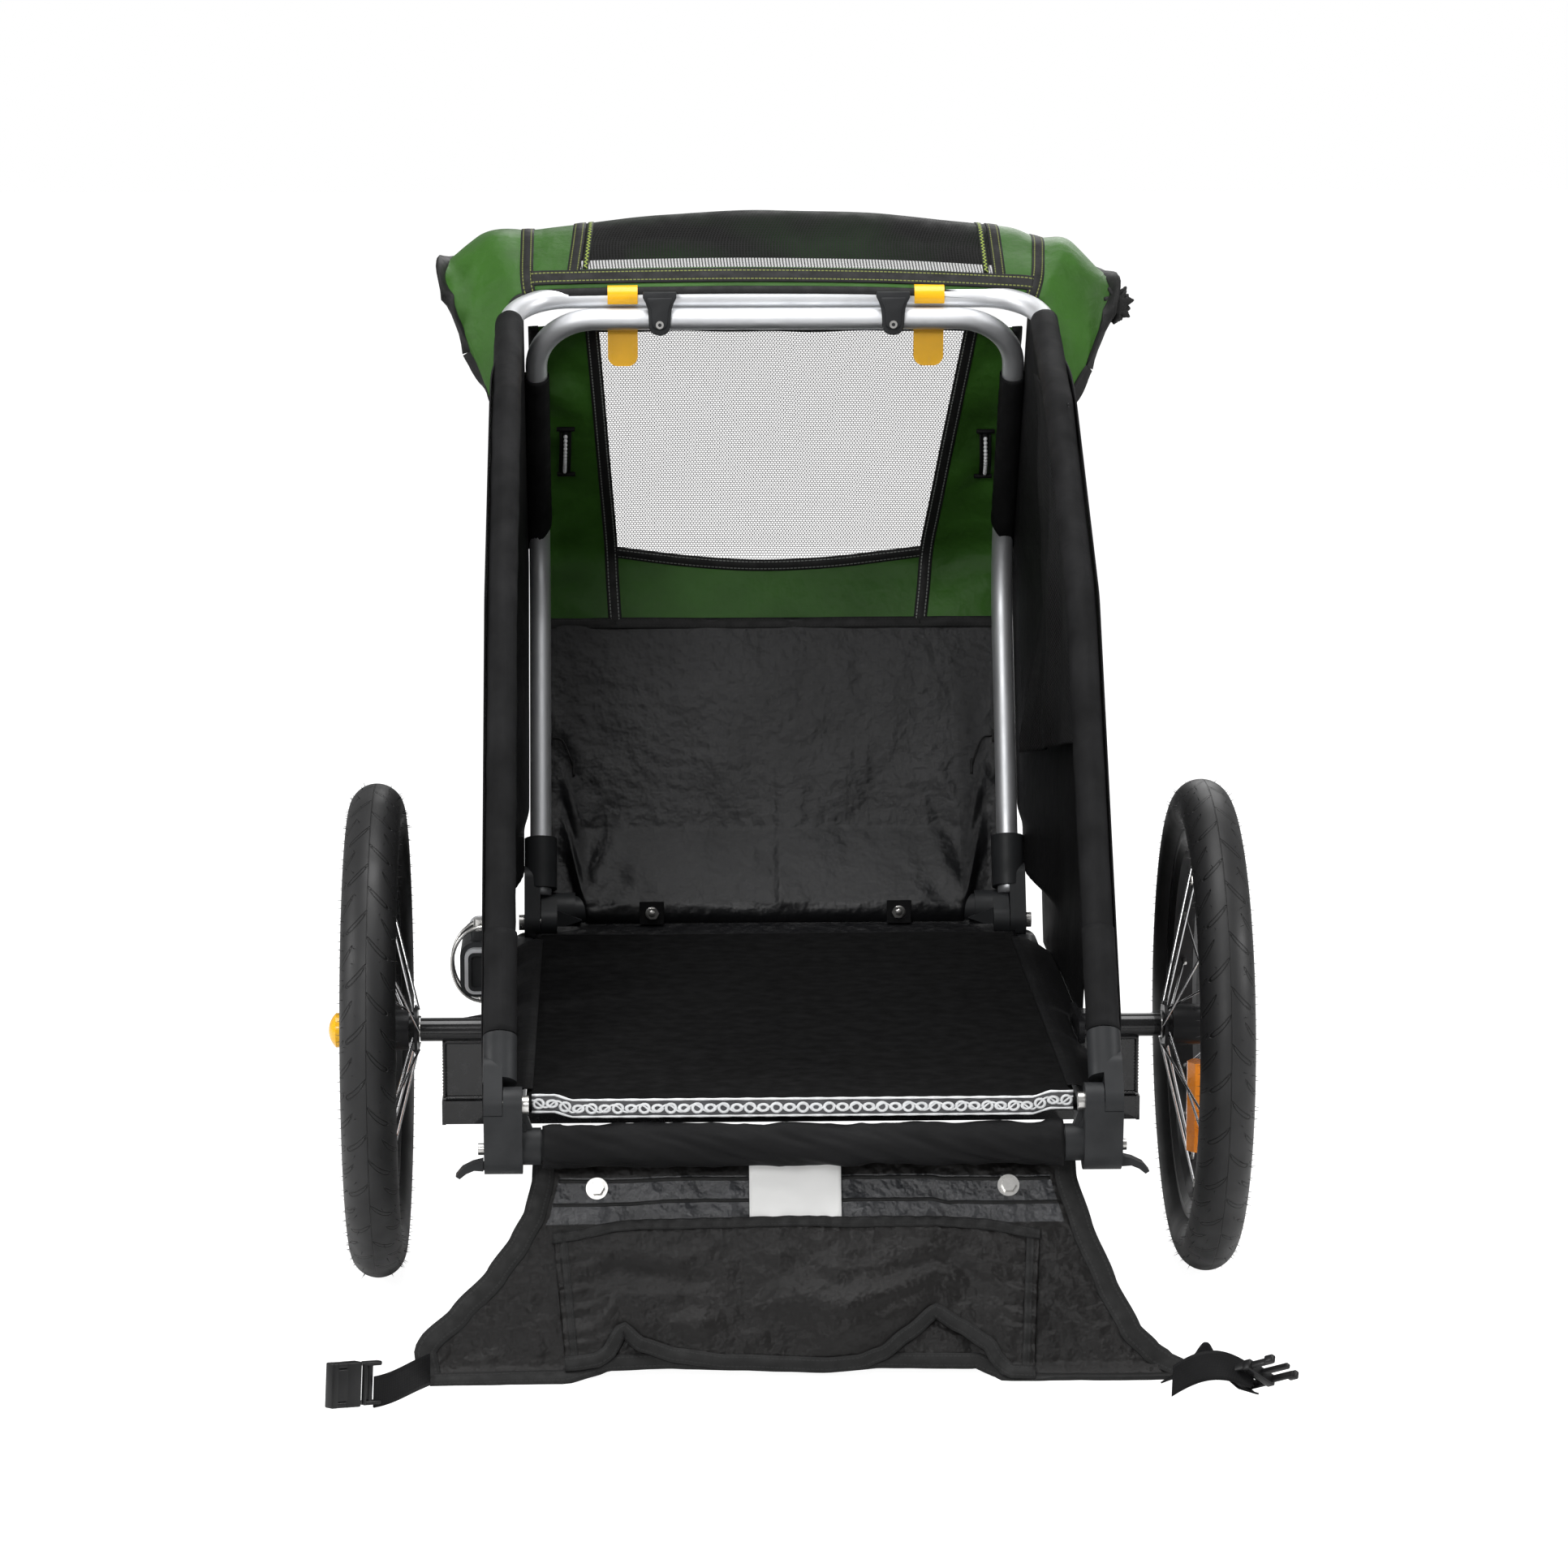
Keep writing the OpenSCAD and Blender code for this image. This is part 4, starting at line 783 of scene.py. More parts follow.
def mat_shape(u, v):
    x = mat_low.x + (mat_high.x - mat_low.x) * u
    y = mat_low.y + (mat_high.y - mat_low.y) * v
    lift = 0.0007 * noise_at(x * 9, y * 9, 2) + 0.0003 * noise_at(x * 40, y * 40, 1)
    edge = min(u, 1 - u, v, 1 - v) * 0.4
    return Vector((x, y, mat_high.z - 0.0005 + lift - 0.0022 * max(0, 1 - edge / 0.006) ** 2))


mat_sheet = flat_grid("mat_felt", 90, 140, mat_shape, felt, solid=0.003, offset=-1)
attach(mat_sheet, "base")
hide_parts("floor_mat")

silver_braid = finished("silver_braid", (0.78, 0.79, 0.8), 0.42, bump=0.4, depth=0.0003, scale=300, fine=2500,
                        vary=0.12)[0]
grey_tape = woven("grey_tape", (0.1, 0.1, 0.105), 0.6, threads=900, creases=60, crease_depth=0.0004)
braid_y, braid_z, braid_x = mat_low.y - 0.0035, mat_high.z, 0.206


def braid_at(x, z):
    rise = 0.0042 * max(0, min(1, (abs(x) - 0.176) / 0.012))
    return Vector((x, braid_y + 0.001, braid_z + z + rise))


braid = [flat_grid("braid_tape", 120, 3, lambda u, v: braid_at(braid_x * (2 * u - 1), -0.0085 + 0.0125 * v),
                   grey_tape, solid=0.0008, offset=1)]
for z in (-0.0085, 0.0045):
    line = [braid_at(braid_x * (k / 60 - 1), z) + Vector((0, -0.0012, 0)) for k in range(121)]
    braid.append(sweep("braid_cord", line, lambda t, a: 0.0009 + 0.00016 * math.sin(t * 900), silver_braid, sides=8))
for k in range(41):
    x = braid_x * 0.975 * (k / 20 - 1)
    bpy.ops.mesh.primitive_torus_add(major_segments=14, minor_segments=6, major_radius=0.0027 if k % 2 else 0.0034,
                                     minor_radius=0.0011, location=braid_at(x, -0.0022) + Vector((0, -0.0012, 0)),
                                     rotation=(math.radians(90), 0, 0))
    eye = bpy.context.object
    eye.scale = (1.35, 0.95, 1) if k % 2 else (1.1, 1.0, 1)
    eye.data.materials.append(silver_braid)
    bpy.ops.object.shade_smooth()
    braid.append(settle(eye))
wave = [braid_at(braid_x * (k / 164 - 1), -0.0022 + 0.0028 * math.cos(k * math.pi / 8.2))
        + Vector((0, -0.0014, 0)) for k in range(329)]
braid.append(sweep("braid_wave", wave, 0.0008, silver_braid, sides=6))
for piece in braid:
    for modifier in list(piece.modifiers):
        bpy.context.view_layer.objects.active = piece
        bpy.ops.object.modifier_apply(modifier=modifier.name)
braid = joined("reflective_braid", braid)
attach(braid, "base")

# ---- Rear hem ----
# The floor fabric's rear hem, rolled round the rear cross tube, slack and creased, with a sewn end band.
hem_low, hem_high = (Vector(p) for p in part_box("rear_hem"))
hem_middle = (hem_low + hem_high) / 2
hem_r = (hem_high.z - hem_low.z) / 2


def hem_shape(u, v):
    x = hem_low.x + (hem_high.x - hem_low.x) * u
    angle = 2 * math.pi * v
    crease = noise_at(x * 22, math.cos(angle) * 0.9, math.sin(angle) * 0.9)
    sharp = abs(noise_at(x * 34 + math.sin(angle) * 1.5, math.cos(angle), 7))
    band = 0.0008 if u < 0.035 or u > 0.965 else 0
    r = hem_r - 0.0030 + 0.0026 * crease + 0.0042 * (0.28 - sharp) + band
    return Vector((x, hem_middle.y + r * math.cos(angle), hem_middle.z + r * math.sin(angle) * 1.02))


hem = flat_grid("floor_hem", 150, 56, hem_shape, black_nylon, solid=0.0008, offset=-1)
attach(hem, "base")
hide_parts("rear_hem")


# ---- Front panel ----
# Sewn in green coated nylon with a black net window, and a black coated panel below the nose.
# It hangs just outside the front hoop, its seams bound with black tape and double stitched.
def build_net():
    """Round holes on a honeycomb: Strand is 1 on the thread and 0 in a hole."""
    tree, given, out = group(
        "net", [("Vector", "Vector", None), ("Pitch", "Float", 0.0024), ("Hole", "Float", 0.001)],
        [("Strand", "Float")])

    def vectors(operation, *values):
        return put(tree, "VectorMath", dict(enumerate(values)), operation=operation).outputs

    row_pitch = maths(tree, "MULTIPLY", given["Pitch"], 1.732)
    cell = put(tree, "CombineXYZ", {0: given["Pitch"], 1: row_pitch, 2: 1.0}).outputs[0]
    scaled = vectors("DIVIDE", given["Vector"], cell)[0]
    near = []
    for shift in ((0, 0, 0), (0.5, 0.5, 0)):
        part = vectors("FRACTION", vectors("ADD", scaled, shift)[0])[0]
        real = vectors("MULTIPLY", vectors("SUBTRACT", part, (0.5, 0.5, 0))[0], cell)[0]
        near.append(vectors("LENGTH", vectors("MULTIPLY", real, (1, 1, 0))[0])["Value"])
    closest = maths(tree, "MINIMUM", near[0], near[1])
    tree.links.new(maths(tree, "GREATER_THAN", closest, given["Hole"]), out.inputs["Strand"])
    return tree


net_group = build_net()


def netting(name, pitch, hole):
    """Black net that is seen through at its holes."""
    material, tree, shader, bumps = finished(name, (0.012, 0.012, 0.012), 0.6, bump=0.1, scale=60, fine=900)
    strand = use_group(tree, net_group, {"Vector": uv_point(tree), "Pitch": pitch, "Hole": hole})["Strand"]
    tree.links.new(strand, shader.inputs["Alpha"])
    return material


green_nylon = woven("green_nylon", (0.030, 0.098, 0.012), 0.4, creases=9, crease_depth=0.006, strength=0.6,
                    vary=0.35, gloss=0.22)
coated_black = woven("coated_black", (0.0065, 0.0066, 0.0074), 0.31, creases=7, crease_depth=0.008, strength=0.62,
                     vary=0.35, gloss=0.30)
window_net = netting("window_net", 0.0027, 0.00124)


def build_stitches():
    """Rows of thread along a tape: Thread is 1 on a stitch. The cloth map's v runs from 0 to 1 over the tape."""
    tree, given, out = group("stitches", [("Vector", "Vector", None), ("Length", "Float", 0.0034)],
                             [("Thread", "Float")])
    parts = put(tree, "SeparateXYZ", {0: given["Vector"]}).outputs
    phase = maths(tree, "FRACT", maths(tree, "DIVIDE", parts[0], given["Length"]))
    dash = maths(tree, "LESS_THAN", phase, 0.72)
    rows = []
    for place in (0.2, 0.8):
        away = maths(tree, "ABSOLUTE", maths(tree, "SUBTRACT", parts[1], place))
        rows.append(maths(tree, "LESS_THAN", away, 0.042))
    tree.links.new(maths(tree, "MULTIPLY", dash, maths(tree, "MAXIMUM", rows[0], rows[1])), out.inputs["Thread"])
    return tree


stitch_group = build_stitches()


def bound_tape(name, colour, thread):
    """Bias tape with two rows of stitches in a thread of its own colour."""
    material, tree, shader, bumps = finished(name, colour, 0.6, bump=0.4, depth=0.0004, scale=120, fine=1600)
    on = use_group(tree, stitch_group, {"Vector": uv_point(tree)})["Thread"]
    recoloured(tree, shader, on, thread)
    raised(tree, shader, bumps, on, 0.8, 0.0006)
    return material


pale_tape = bound_tape("tape_pale_thread", (0.008, 0.008, 0.008), (0.20, 0.21, 0.20))
green_tape = bound_tape("tape_green_thread", (0.008, 0.008, 0.008), (0.15, 0.17, 0.045))
plain_tape = bound_tape("tape_black_thread", (0.009, 0.009, 0.009), (0.017, 0.017, 0.017))


def tape_along(name, shape, route, width, material, lift=0.0011):
    """Bias tape laid on a sheet along a route of (u, v) places, as thick on the sheet's back as on its face."""
    step = 1e-3
    line, normals = [], []
    for u, v in route:
        p = shape(u, v)
        uu, vv = min(u, 1 - step), min(v, 1 - step)
        du = shape(uu + step, vv) - shape(uu, vv)
        dv = shape(uu, vv + step) - shape(uu, vv)
        line.append(p)
        normals.append(du.cross(dv).normalized())
    points, uv, run = [], [], 0.0
    # The tape's section: place across, height, place on its cloth map
    ring = [(-0.5, 1.0, 0.0), (-0.46, 1.35, 0.04), (0, 1.5, 0.5), (0.46, 1.35, 0.96), (0.5, 1.0, 1.0),
            (0.5, -1.0, 1.0), (0.46, -1.35, 0.96), (0, -1.5, 0.5), (-0.46, -1.35, 0.04), (-0.5, -1.0, 0.0)]
    for i, p in enumerate(line):
        way = (line[min(i + 1, len(line) - 1)] - line[max(i - 1, 0)]).normalized()
        n = normals[i]
        n = (n - way * n.dot(way)).normalized()
        cross = way.cross(n)
        run += (p - line[i - 1]).length if i else 0.0
        for c, h, q in ring:
            points.append(p + cross * c * width + n * h * lift)
            uv.append((run, q))
    return mesh_piece(name, points, tube_faces(len(line), len(ring)), material, uv=uv)


def ease(t):
    """0 to 1, with a soft start and end."""
    t = max(0.0, min(1.0, t))
    return t * t * (3 - 2 * t)


out_low, out_high = polar(16.4, front_tilt - 90), polar(16.4, top_tilt - 90)
panel_half, panel_foot, panel_top, green_start = 213, 32.0, nose_run + 262.0, nose_run - 52.0


def panel_point(x, s, sag=0.0):
    """A point on the front panel, s millimetres up it from the front hinges, with the nose rounded off."""
    low = front_foot + polar(s, front_tilt) + out_low
    high = nose + polar(s - nose_run, top_tilt) + out_high
    blend = ease((s - 312) / 36)
    p = low.lerp(high, blend)
    return Vector((x / 1000, p.y, p.z)) + (out_low.lerp(out_high, blend)).normalized() * sag


def net_edge(s, hand):
    """Half width of the net window at a height up the panel."""
    t = (s - nose_run) / (panel_top - nose_run)
    return (-144 - 16 * t) if hand < 0 else (141 + 31 * t)


net_from, net_to, net_share = 0.2, 0.8, 0.6  # places across the cloth of the net window's edges, and its share


def upper_shape(u, v):
    s = green_start + (panel_top - green_start) * v
    left, right = net_edge(s, -1), net_edge(s, 1)
    if u < net_from:
        x = -panel_half + (left + panel_half) * u / net_from
    elif u < net_to:
        x = left + (right - left) * (u - net_from) / net_share
    else:
        x = right + (panel_half - right) * (u - net_to) / net_from
    bulge = 0.0
    if net_from < u < net_to and s > nose_run:
        up = (s - nose_run) / (panel_top - nose_run)
        bulge = 0.007 * math.sin(math.pi * (u - net_from) / net_share) * math.sin(math.pi * up)
    crease = 0.0022 * noise_at(x * 0.018, s * 0.012, 4)
    crease += 0.0055 * ease((abs(u - 0.5) - 0.3) / 0.08) * noise_at(x * 0.02, s * 0.03, 9)
    return panel_point(x, s, crease + bulge)


net_low = (nose_run + 6 - green_start) / (panel_top - green_start)


def net_sag(u):
    """How far up the cloth the net's lower edge runs, a little lower in the middle."""
    return net_low - 0.028 * math.sin(math.pi * max(0, min(1, (u - net_from) / net_share)))


def upper_kind(u, v):
    return 1 if net_from < u < net_to and v > net_sag(u) else 0


upper = flat_grid("front_cloth", 120, 150, upper_shape, [green_nylon, window_net], kinds=upper_kind)


def line_up(u, start=0.0, end=1.0, steps=60):
    return [(u, start + (end - start) * k / steps) for k in range(steps + 1)]


def line_across(v, start=0.0, end=1.0, steps=120):
    return [(start + (end - start) * k / steps, v) for k in range(steps + 1)]


front_cross = (Vector(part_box("front_cross_tube")[0]) + Vector(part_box("front_cross_tube")[1])) / 2
skirt_turn = 0.3  # share of the skirt that wraps the cross tube
skirt_tuck = 0.25  # share of that wrap which lies under the mat
skirt_free = 0.26  # share of the rest in which it leaves the tube for the panel's plane


def on_front_cross(angle):
    """A place just off the front cross tube, at an angle round it in degrees."""
    return front_cross + Vector((0, math.cos(math.radians(angle)), math.sin(math.radians(angle)))) * 0.0142


def lower_shape(u, v):
    """From under the mat, up the near face of the front cross tube, then over to the panel's plane.
    At the two corners it passes outside the sockets instead."""
    x = -panel_half + 2 * panel_half * u
    top = panel_point(x, green_start + 6)
    if v < skirt_turn:
        inner = on_front_cross(228 - 84 * max(0.0, v / skirt_turn - skirt_tuck) / (1 - skirt_tuck))
        under = Vector((0, mat_high.y - 0.006, mat_high.z - 0.0062))
        inner = under.lerp(inner, min(1.0, v / skirt_turn / skirt_tuck))
    else:
        t, joins = (v - skirt_turn) / (1 - skirt_turn), panel_point(0, 88)
        if t < skirt_free:
            inner = on_front_cross(144).lerp(joins, t / skirt_free)
        else:
            inner = joins.lerp(top, (t - skirt_free) / (1 - skirt_free))
    outer = panel_point(x, panel_foot + (green_start + 6 - panel_foot) * v)
    aside = ease((abs(x) - 166) / 26) * ease((v - 0.03) / 0.1)
    p = Vector((x / 1000, 0, 0)) + Vector((0, *inner.yz)).lerp(Vector((0, *outer.yz)), aside)
    slack = (1 - v) ** 1.3
    pull = noise_at(x * 0.011 - abs(x) / (x + 0.01) * v * 1.6, v * 2.6, 3)
    sharp = abs(noise_at(x * 0.019 + v * 2.2, v * 5.2, 11))
    corner = math.exp(-((abs(x) - 168) / 34) ** 2) * math.exp(-((v - 0.34) / 0.2) ** 2)
    pucker = 0.0028 * corner * math.sin(abs(x) * 0.16 + v * 30)
    ripple = 0.0011 * noise_at(x * 0.03, v * 9, 21)
    free = ease((v - 0.2) / 0.16)
    move = 0.0065 * slack * pull + 0.0045 * slack * (0.25 - sharp) + pucker + ripple
    return p + Vector((0, math.cos(0.42), -math.sin(0.42))) * move * free


lower = flat_grid("front_skirt", 150, 110, lower_shape, coated_black)
front_trim = [tape_along("seam", upper_shape, route, width, cloth) for route, width, cloth in (
    (line_up(net_from), 0.012, pale_tape), (line_up(net_to), 0.012, pale_tape),
    ([(u, net_sag(u)) for u, v in line_across(0, net_from, net_to, 60)], 0.0105, pale_tape),
    (line_across(0.004, steps=80), 0.01, plain_tape), (line_up(0.008), 0.009, plain_tape),
    (line_up(0.992), 0.009, plain_tape), (line_across(0.994, net_from, net_to, 60), 0.008, plain_tape))]
for piece, flat, slot in ((upper, (0.426, 0.314), "green_fabric"), (lower, (0.426, 0.29), "black_fabric")):
    thicken(piece, 0.0007)
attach(upper, "front_hoop")
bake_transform(lower)
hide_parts("front_panel")
front_trim = joined("front_bindings", front_trim)
bolt_y, bolt_z = front_cross.y - 0.0152, front_cross.z
patches = []
for x in (-0.110, 0.110):
    patches.append(block((x, bolt_y, bolt_z), (0.022, 0.0012, 0.021), webbing, 0.0005, segments=2, smooth=False))
    # The washer, the bolt's head and the collar round it
    for radius, length, sides in ((0.0058, 0.001, 32), (0.0033, 0.0032, 6), (0.0042, 0.0016, 32)):
        head = disc((x, bolt_y - 0.0007 - length / 2, bolt_z), radius, length, sides, zinc)
        patches.append(softened(head, 0.0003, 2))
patches = joined("bolt_patches", patches)
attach(patches, "base")
loops = []
for x, top, lean in ((-184, 474, -1.5), (189, 470, 1.5)):
    route = [(x + lean * k / 14, top - 46 * k / 14, 0.0016 + 0.0085 * math.sin(math.pi * k / 14))
             for k in range(15)]
    for hand in (-4.2, 4.2):
        edge = [panel_point(a + hand, b, -h) for a, b, h in route]
        loops.append(sweep("loop_edge", edge, 0.0011, webbing, sides=8))
    loops.append(sweep("loop_back", [panel_point(a, b, -h * 0.6) for a, b, h in route], 0.003, webbing, sides=8))
    for k in range(1, 14):
        a, b, h = route[k]
        bpy.ops.mesh.primitive_uv_sphere_add(segments=12, ring_count=8, radius=0.0021,
                                             location=panel_point(a, b, -h - 0.0016))
        bead = bpy.context.object
        bead.scale = (0.85, 0.8, 1.0)
        bead.data.materials.append(silver_braid)
        bpy.ops.object.shade_smooth()
        loops.append(settle(bead))
    for end in (top + 3, top - 49):
        tack = [panel_point(x + a, end, -0.002) for a in (-8, -3, 3, 8)]
        loops.append(sweep("bar_tack", tack, 0.0021, webbing, sides=8))
for x in (-199, -179, 179, 199):
    route = [((x + panel_half) / (2 * panel_half), 0.535 + 0.045 * k / 6) for k in range(7)]
    loops.append(tape_along("tack", lower_shape, route, 0.0022, plain_tape, lift=0.0012))
for x in (-199, 179):
    route = [((x + 3.2 * k + panel_half) / (2 * panel_half), 0.557) for k in range(7)]
    loops.append(tape_along("tack", lower_shape, route, 0.0016, plain_tape, lift=0.0012))
loops = joined("front_loops", loops)
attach(loops, "front_hoop")
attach(front_trim, "front_hoop")


# ---- Front hoop sleeves ----
# Short black sleeves on the upper legs of the front hoop, cut on the slant just above the nose bend.
for side, sign in both_sides:
    corners = (nose + polar(36, top_tilt), nose + polar(120, top_tilt), front_bar - polar(62, top_tilt))
    path = evened(rounded([beside(sign * front_x, p) for p in corners], [0.5], 4), 0.004)
    sock = sweep(side + "_front_sleeve", path, wrinkled(0.0112, 0.0006, 3 * sign), sleeve_cloth, sides=24,
                 caps=False)
    way = (path[-1] - path[0]).normalized()
    for vertex in sock.data.vertices:
        run = (vertex.co - path[0]).dot(way)
        inward = -sign * (vertex.co.x - sign * front_x) / 0.0112
        vertex.co += way * (0.014 * inward * max(0.0, 1 - run / 0.05))
    thicken(sock, 0.0008, -1)
    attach(sock, "front_hoop")


# ---- Side walls ----
# Black coated nylon, sewn to the rear hoop's sleeves, the front hoop and the floor, slightly slack.
wall_x = 0.2438
wall_top = [rear_foot + polar(66, rear_tilt), rear_bend + Vector((0, -0.004, 0.004)),
            rear_shoulder + Vector((0, -0.002, 0.005)), rear_bar + Vector((0, -0.014, 0)),
            front_bar + Vector((0, 0.012, -0.004)), nose + Vector((0, 0.009, 0))]
wall_line = evened(wall_top, 0.01)
wall_foot_y = (rear_foot.y + 0.052, front_foot.y + 0.009)


def wall_side(p):
    """How far out the wall stands: outside the rear hoop, drawn in to the front hoop's legs."""
    near = 1.0
    for a, b in ((front_foot, nose), (nose, front_bar)):
        a, b, q = Vector((a.y, a.z)), Vector((b.y, b.z)), Vector((p.y, p.z))
        share = max(0.0, min(1.0, (q - a).dot(b - a) / (b - a).length_squared))
        near = min(near, (q - a.lerp(b, share)).length)
    # Close to the front hoop's legs, a little wider past its sockets and wider again past the knuckles
    front = 0.2192 + 0.0045 * ease((0.300 + drawn_lift - p.z) / 0.02)
    front += 0.0165 * ease((0.246 + drawn_lift - p.z) / 0.016)
    return front + (wall_x - front) * ease(near / 0.16)


def wall_shape(sign):
    """u forward from the rear hoop's foot, v up from a foot that is cut away over the brackets."""
    def shape(u, v):
        place = u * (len(wall_line) - 1)
        k = min(int(place), len(wall_line) - 2)
        top = wall_line[k].lerp(wall_line[k + 1], place - k)
        y = wall_foot_y[0] + (wall_foot_y[1] - wall_foot_y[0]) * u
        # The foot rises over the axle bracket, and on the left over the tow receiver too
        z = axle.z - 0.019
        z += 0.036 * ease(1 - (abs(y - axle.y - 0.018) - 0.05) / 0.02)
        if sign < 0:
            z += 0.074 * ease(1 - (abs(y - axle.y - 0.17) - 0.082) / 0.02)
        p = Vector((0, y, z)).lerp(top, v)
        slack = math.sin(math.pi * v) * math.sin(math.pi * u)
        billow = 0.004 * slack * noise_at(p.y * 9, p.z * 9, 5 * sign)
        return Vector((sign * (wall_side(p) + billow), p.y, p.z))
    return shape


for side, sign in both_sides:
    wall = flat_grid(side + "_wall_cloth", 120, 80, wall_shape(sign), black_nylon, solid=0.0012)
    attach(wall, "base")
    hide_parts(side + "_side_wall")
    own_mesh(wall)

# ---- Floor slings ----
# Strips of the floor's black nylon that run from under the mat over each side rail to the wall's foot.
sling_section = ((206, 198.6), (212, 199.2), (220, 197.0), (230, 191.6), (238, 186.0), (242.6, 183.0))


def sling_shape(sign):
    """u forward along the rail, v out over it; drawn in where the axle and tow brackets stand."""
    def shape(u, v):
        y = -205 + 562 * u
        k = min(int(v * 5), 4)
        f = v * 5 - k
        (x, z), (next_x, next_z) = sling_section[k], sling_section[k + 1]
        x, z = x + (next_x - x) * f, z + (next_z - z) * f
        inside = ease(1 - (abs(y - 22) - 46) / 8)
        if sign < 0:
            inside = max(inside, ease(1 - (abs(y - 154) - 50) / 8))
        x = x - max(0.0, x - 230.6) * inside
        dip = 1.1 * noise_at(y * 0.02, v * 2, sign) * math.sin(math.pi * v)
        return at(sign * x, y, z + dip + 0.4)
    return shape


for side, sign in both_sides:
    sling = flat_grid(side + "_floor_sling", 160, 15, sling_shape(sign), black_nylon, solid=0.0009)
    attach(sling, "base")


# ---- Side curtain ----
# A curtain of ribbed black net, sewn along its top to the inside of the right wall. It hangs in soft folds
# and keeps clear of the wall.
rib_net, tree, shader, bumps = finished("ribbed_net", (0.02, 0.02, 0.021), 0.7, bump=0.2, scale=40, fine=300)
parts = put(tree, "SeparateXYZ", {0: uv_point(tree)}).outputs
rib_pitch = 0.0030
slant = maths(tree, "ADD", parts[1], maths(tree, "MULTIPLY", parts[0], 0.5))
ribs = maths(tree, "SINE", maths(tree, "MULTIPLY", slant, 2 * math.pi / rib_pitch))
raised(tree, shader, bumps, ribs, 0.9, 0.0012)
# The colour follows the ribs: painted shade in the troughs between them and a lighter painted crest on each rib.
rib_painted_shade = maths(tree, "MULTIPLY_ADD", ribs, 0.5, 0.5)
tree.links.new(blended(tree, rib_painted_shade, (0.006, 0.006, 0.006, 1), (0.03, 0.03, 0.032, 1)), shader.inputs["Base Color"])


def curtain_shape(u, v):
    """u from the rear edge to the front one, v up from the hem."""
    p = Vector((0, 108 + 318 * u, 414 - 62 * u)).lerp(Vector((0, 177 + 160 * u, 688 + 10 * u)), v)
    p = at(0, p.y, p.z)
    fold = 0.0035 * math.sin(u * 15 + v * 2.0) * math.sin(math.pi * u)
    fold += 0.004 * noise_at(u * 3, v * 5, 2)
    return Vector((wall_side(p) - 0.0075 - fold - 0.006 * math.sin(math.pi * u), p.y, p.z))


curtain = flat_grid("side_curtain", 90, 120, curtain_shape, rib_net, solid=0.001)
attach(curtain, "base")
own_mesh(curtain)


# ---- Rear cover ----
# The weather cover, thrown back over the crossbars: green coated nylon round a wide black net window, its edges
# bound in black tape, with wings that hang outside the hoop's corners.
def smooth_net(rows):
    """A surface through a net of control points, by cubic interpolation both ways."""
    def cubic(values, t):
        place = t * (len(values) - 1)
        k = min(int(place), len(values) - 2)
        f = place - k
        a, b = values[k], values[k + 1]
        before = values[k - 1] if k > 0 else a * 2 - b
        after = values[k + 2] if k + 2 < len(values) else b * 2 - a
        return (a * 2 + (b - before) * f + (before * 2 - a * 5 + b * 4 - after) * f * f
                + (a * 3 - before - b * 3 + after) * f ** 3) * 0.5

    def shape(u, v):
        return cubic([cubic(row, u) for row in rows], v)
    return shape


cover_rows = [[at(*p) for p in row] for row in (
    # Each row runs from the left wing's foot over the bar to the right wing's foot; the first is the near edge
    [(-241, 376, 650), (-239, 380, 718), (-229, 386, 753), (-213, 388, 762), (-178, 388, 764.5), (-95, 388, 766),
     (-13, 388, 766.5), (95, 388, 765), (196, 388, 760), (221, 388, 757), (233, 385, 749), (240, 378, 722),
     (243, 374, 662)],
    [(-242, 380, 650), (-248, 386, 722), (-234, 390, 762), (-215, 390, 770), (-177, 390, 772), (-95, 391, 773),
     (-13, 391, 773.5), (95, 391, 772), (195, 390, 768), (224, 390, 765), (238, 388, 757), (249, 382, 724),
     (245, 378, 662)],
    [(-243.5, 386, 651), (-256, 392, 727), (-238, 400, 776), (-216, 401, 783), (-175, 402, 784.5), (-95, 403, 786),
     (-13, 403, 786.5), (95, 403, 784.5), (194.5, 401, 780), (228, 401, 777), (243, 398, 770), (259, 390, 728),
     (249, 382, 664)],
    [(-246, 392, 662), (-265, 398, 736), (-246, 424, 796), (-216, 432, 800), (-172, 434, 803), (-95, 436, 806),
     (-13, 437, 807), (95, 436, 805), (194, 432, 798), (231, 430, 793), (250, 418, 788), (270, 398, 735),
     (255, 386, 670)],
    [(-253, 398, 684), (-275, 404, 751), (-254, 452, 807), (-216, 468, 811), (-170, 474, 816.5), (-95, 478, 824),
     (-13, 480, 828), (95, 478, 824), (193.5, 472, 814), (233, 462, 804), (259, 446, 800), (281, 404, 744),
     (262, 390, 678)],
    [(-262, 402, 701), (-284, 409, 768), (-262, 500, 806), (-216, 530, 807), (-170, 540, 811), (-95, 548, 817),
     (-13, 550, 820), (95, 548, 816), (194, 540, 808), (234, 526, 800), (268, 492, 797), (290, 408, 756),
     (268, 394, 688)],
    [(-267, 404, 710), (-291, 413, 784), (-268, 548, 784), (-216, 592, 783), (-168, 606, 787), (-95, 616, 793),
     (-13, 619, 796), (95, 616, 792), (194, 606, 784), (235, 588, 778), (274, 538, 777), (297, 412, 768),
     (273, 398, 697)],
)]
cover_base = smooth_net(cover_rows)


def cover_shape(u, v):
    p = cover_base(u, v)
    crease = 0.0030 * noise_at(p.x * 11, p.y * 11, 3) * ease(v * 3 - 1)
    aside = ease((abs(p.x) - 0.19) / 0.03) * ease(v * 3 - 0.6)
    fold = 0.0034 * aside * noise_at(p.x * 26, p.y * 9 + p.z * 12, 6)
    return p + Vector((0, 0, crease + fold))


# Places across the cover of the net window and the outer seams, then places up it where the single net starts,
# gives way to doubled net, and ends
window = (4 / 12, 8 / 12)
seams = (3 / 12, 9 / 12)
strip_start, strip_end, window_end = 0.318, 0.395, 0.95


def cover_kind(u, v):
    if window[0] < u < window[1] and strip_start < v < window_end:
        return 1 if v < strip_end else 2
    return 0


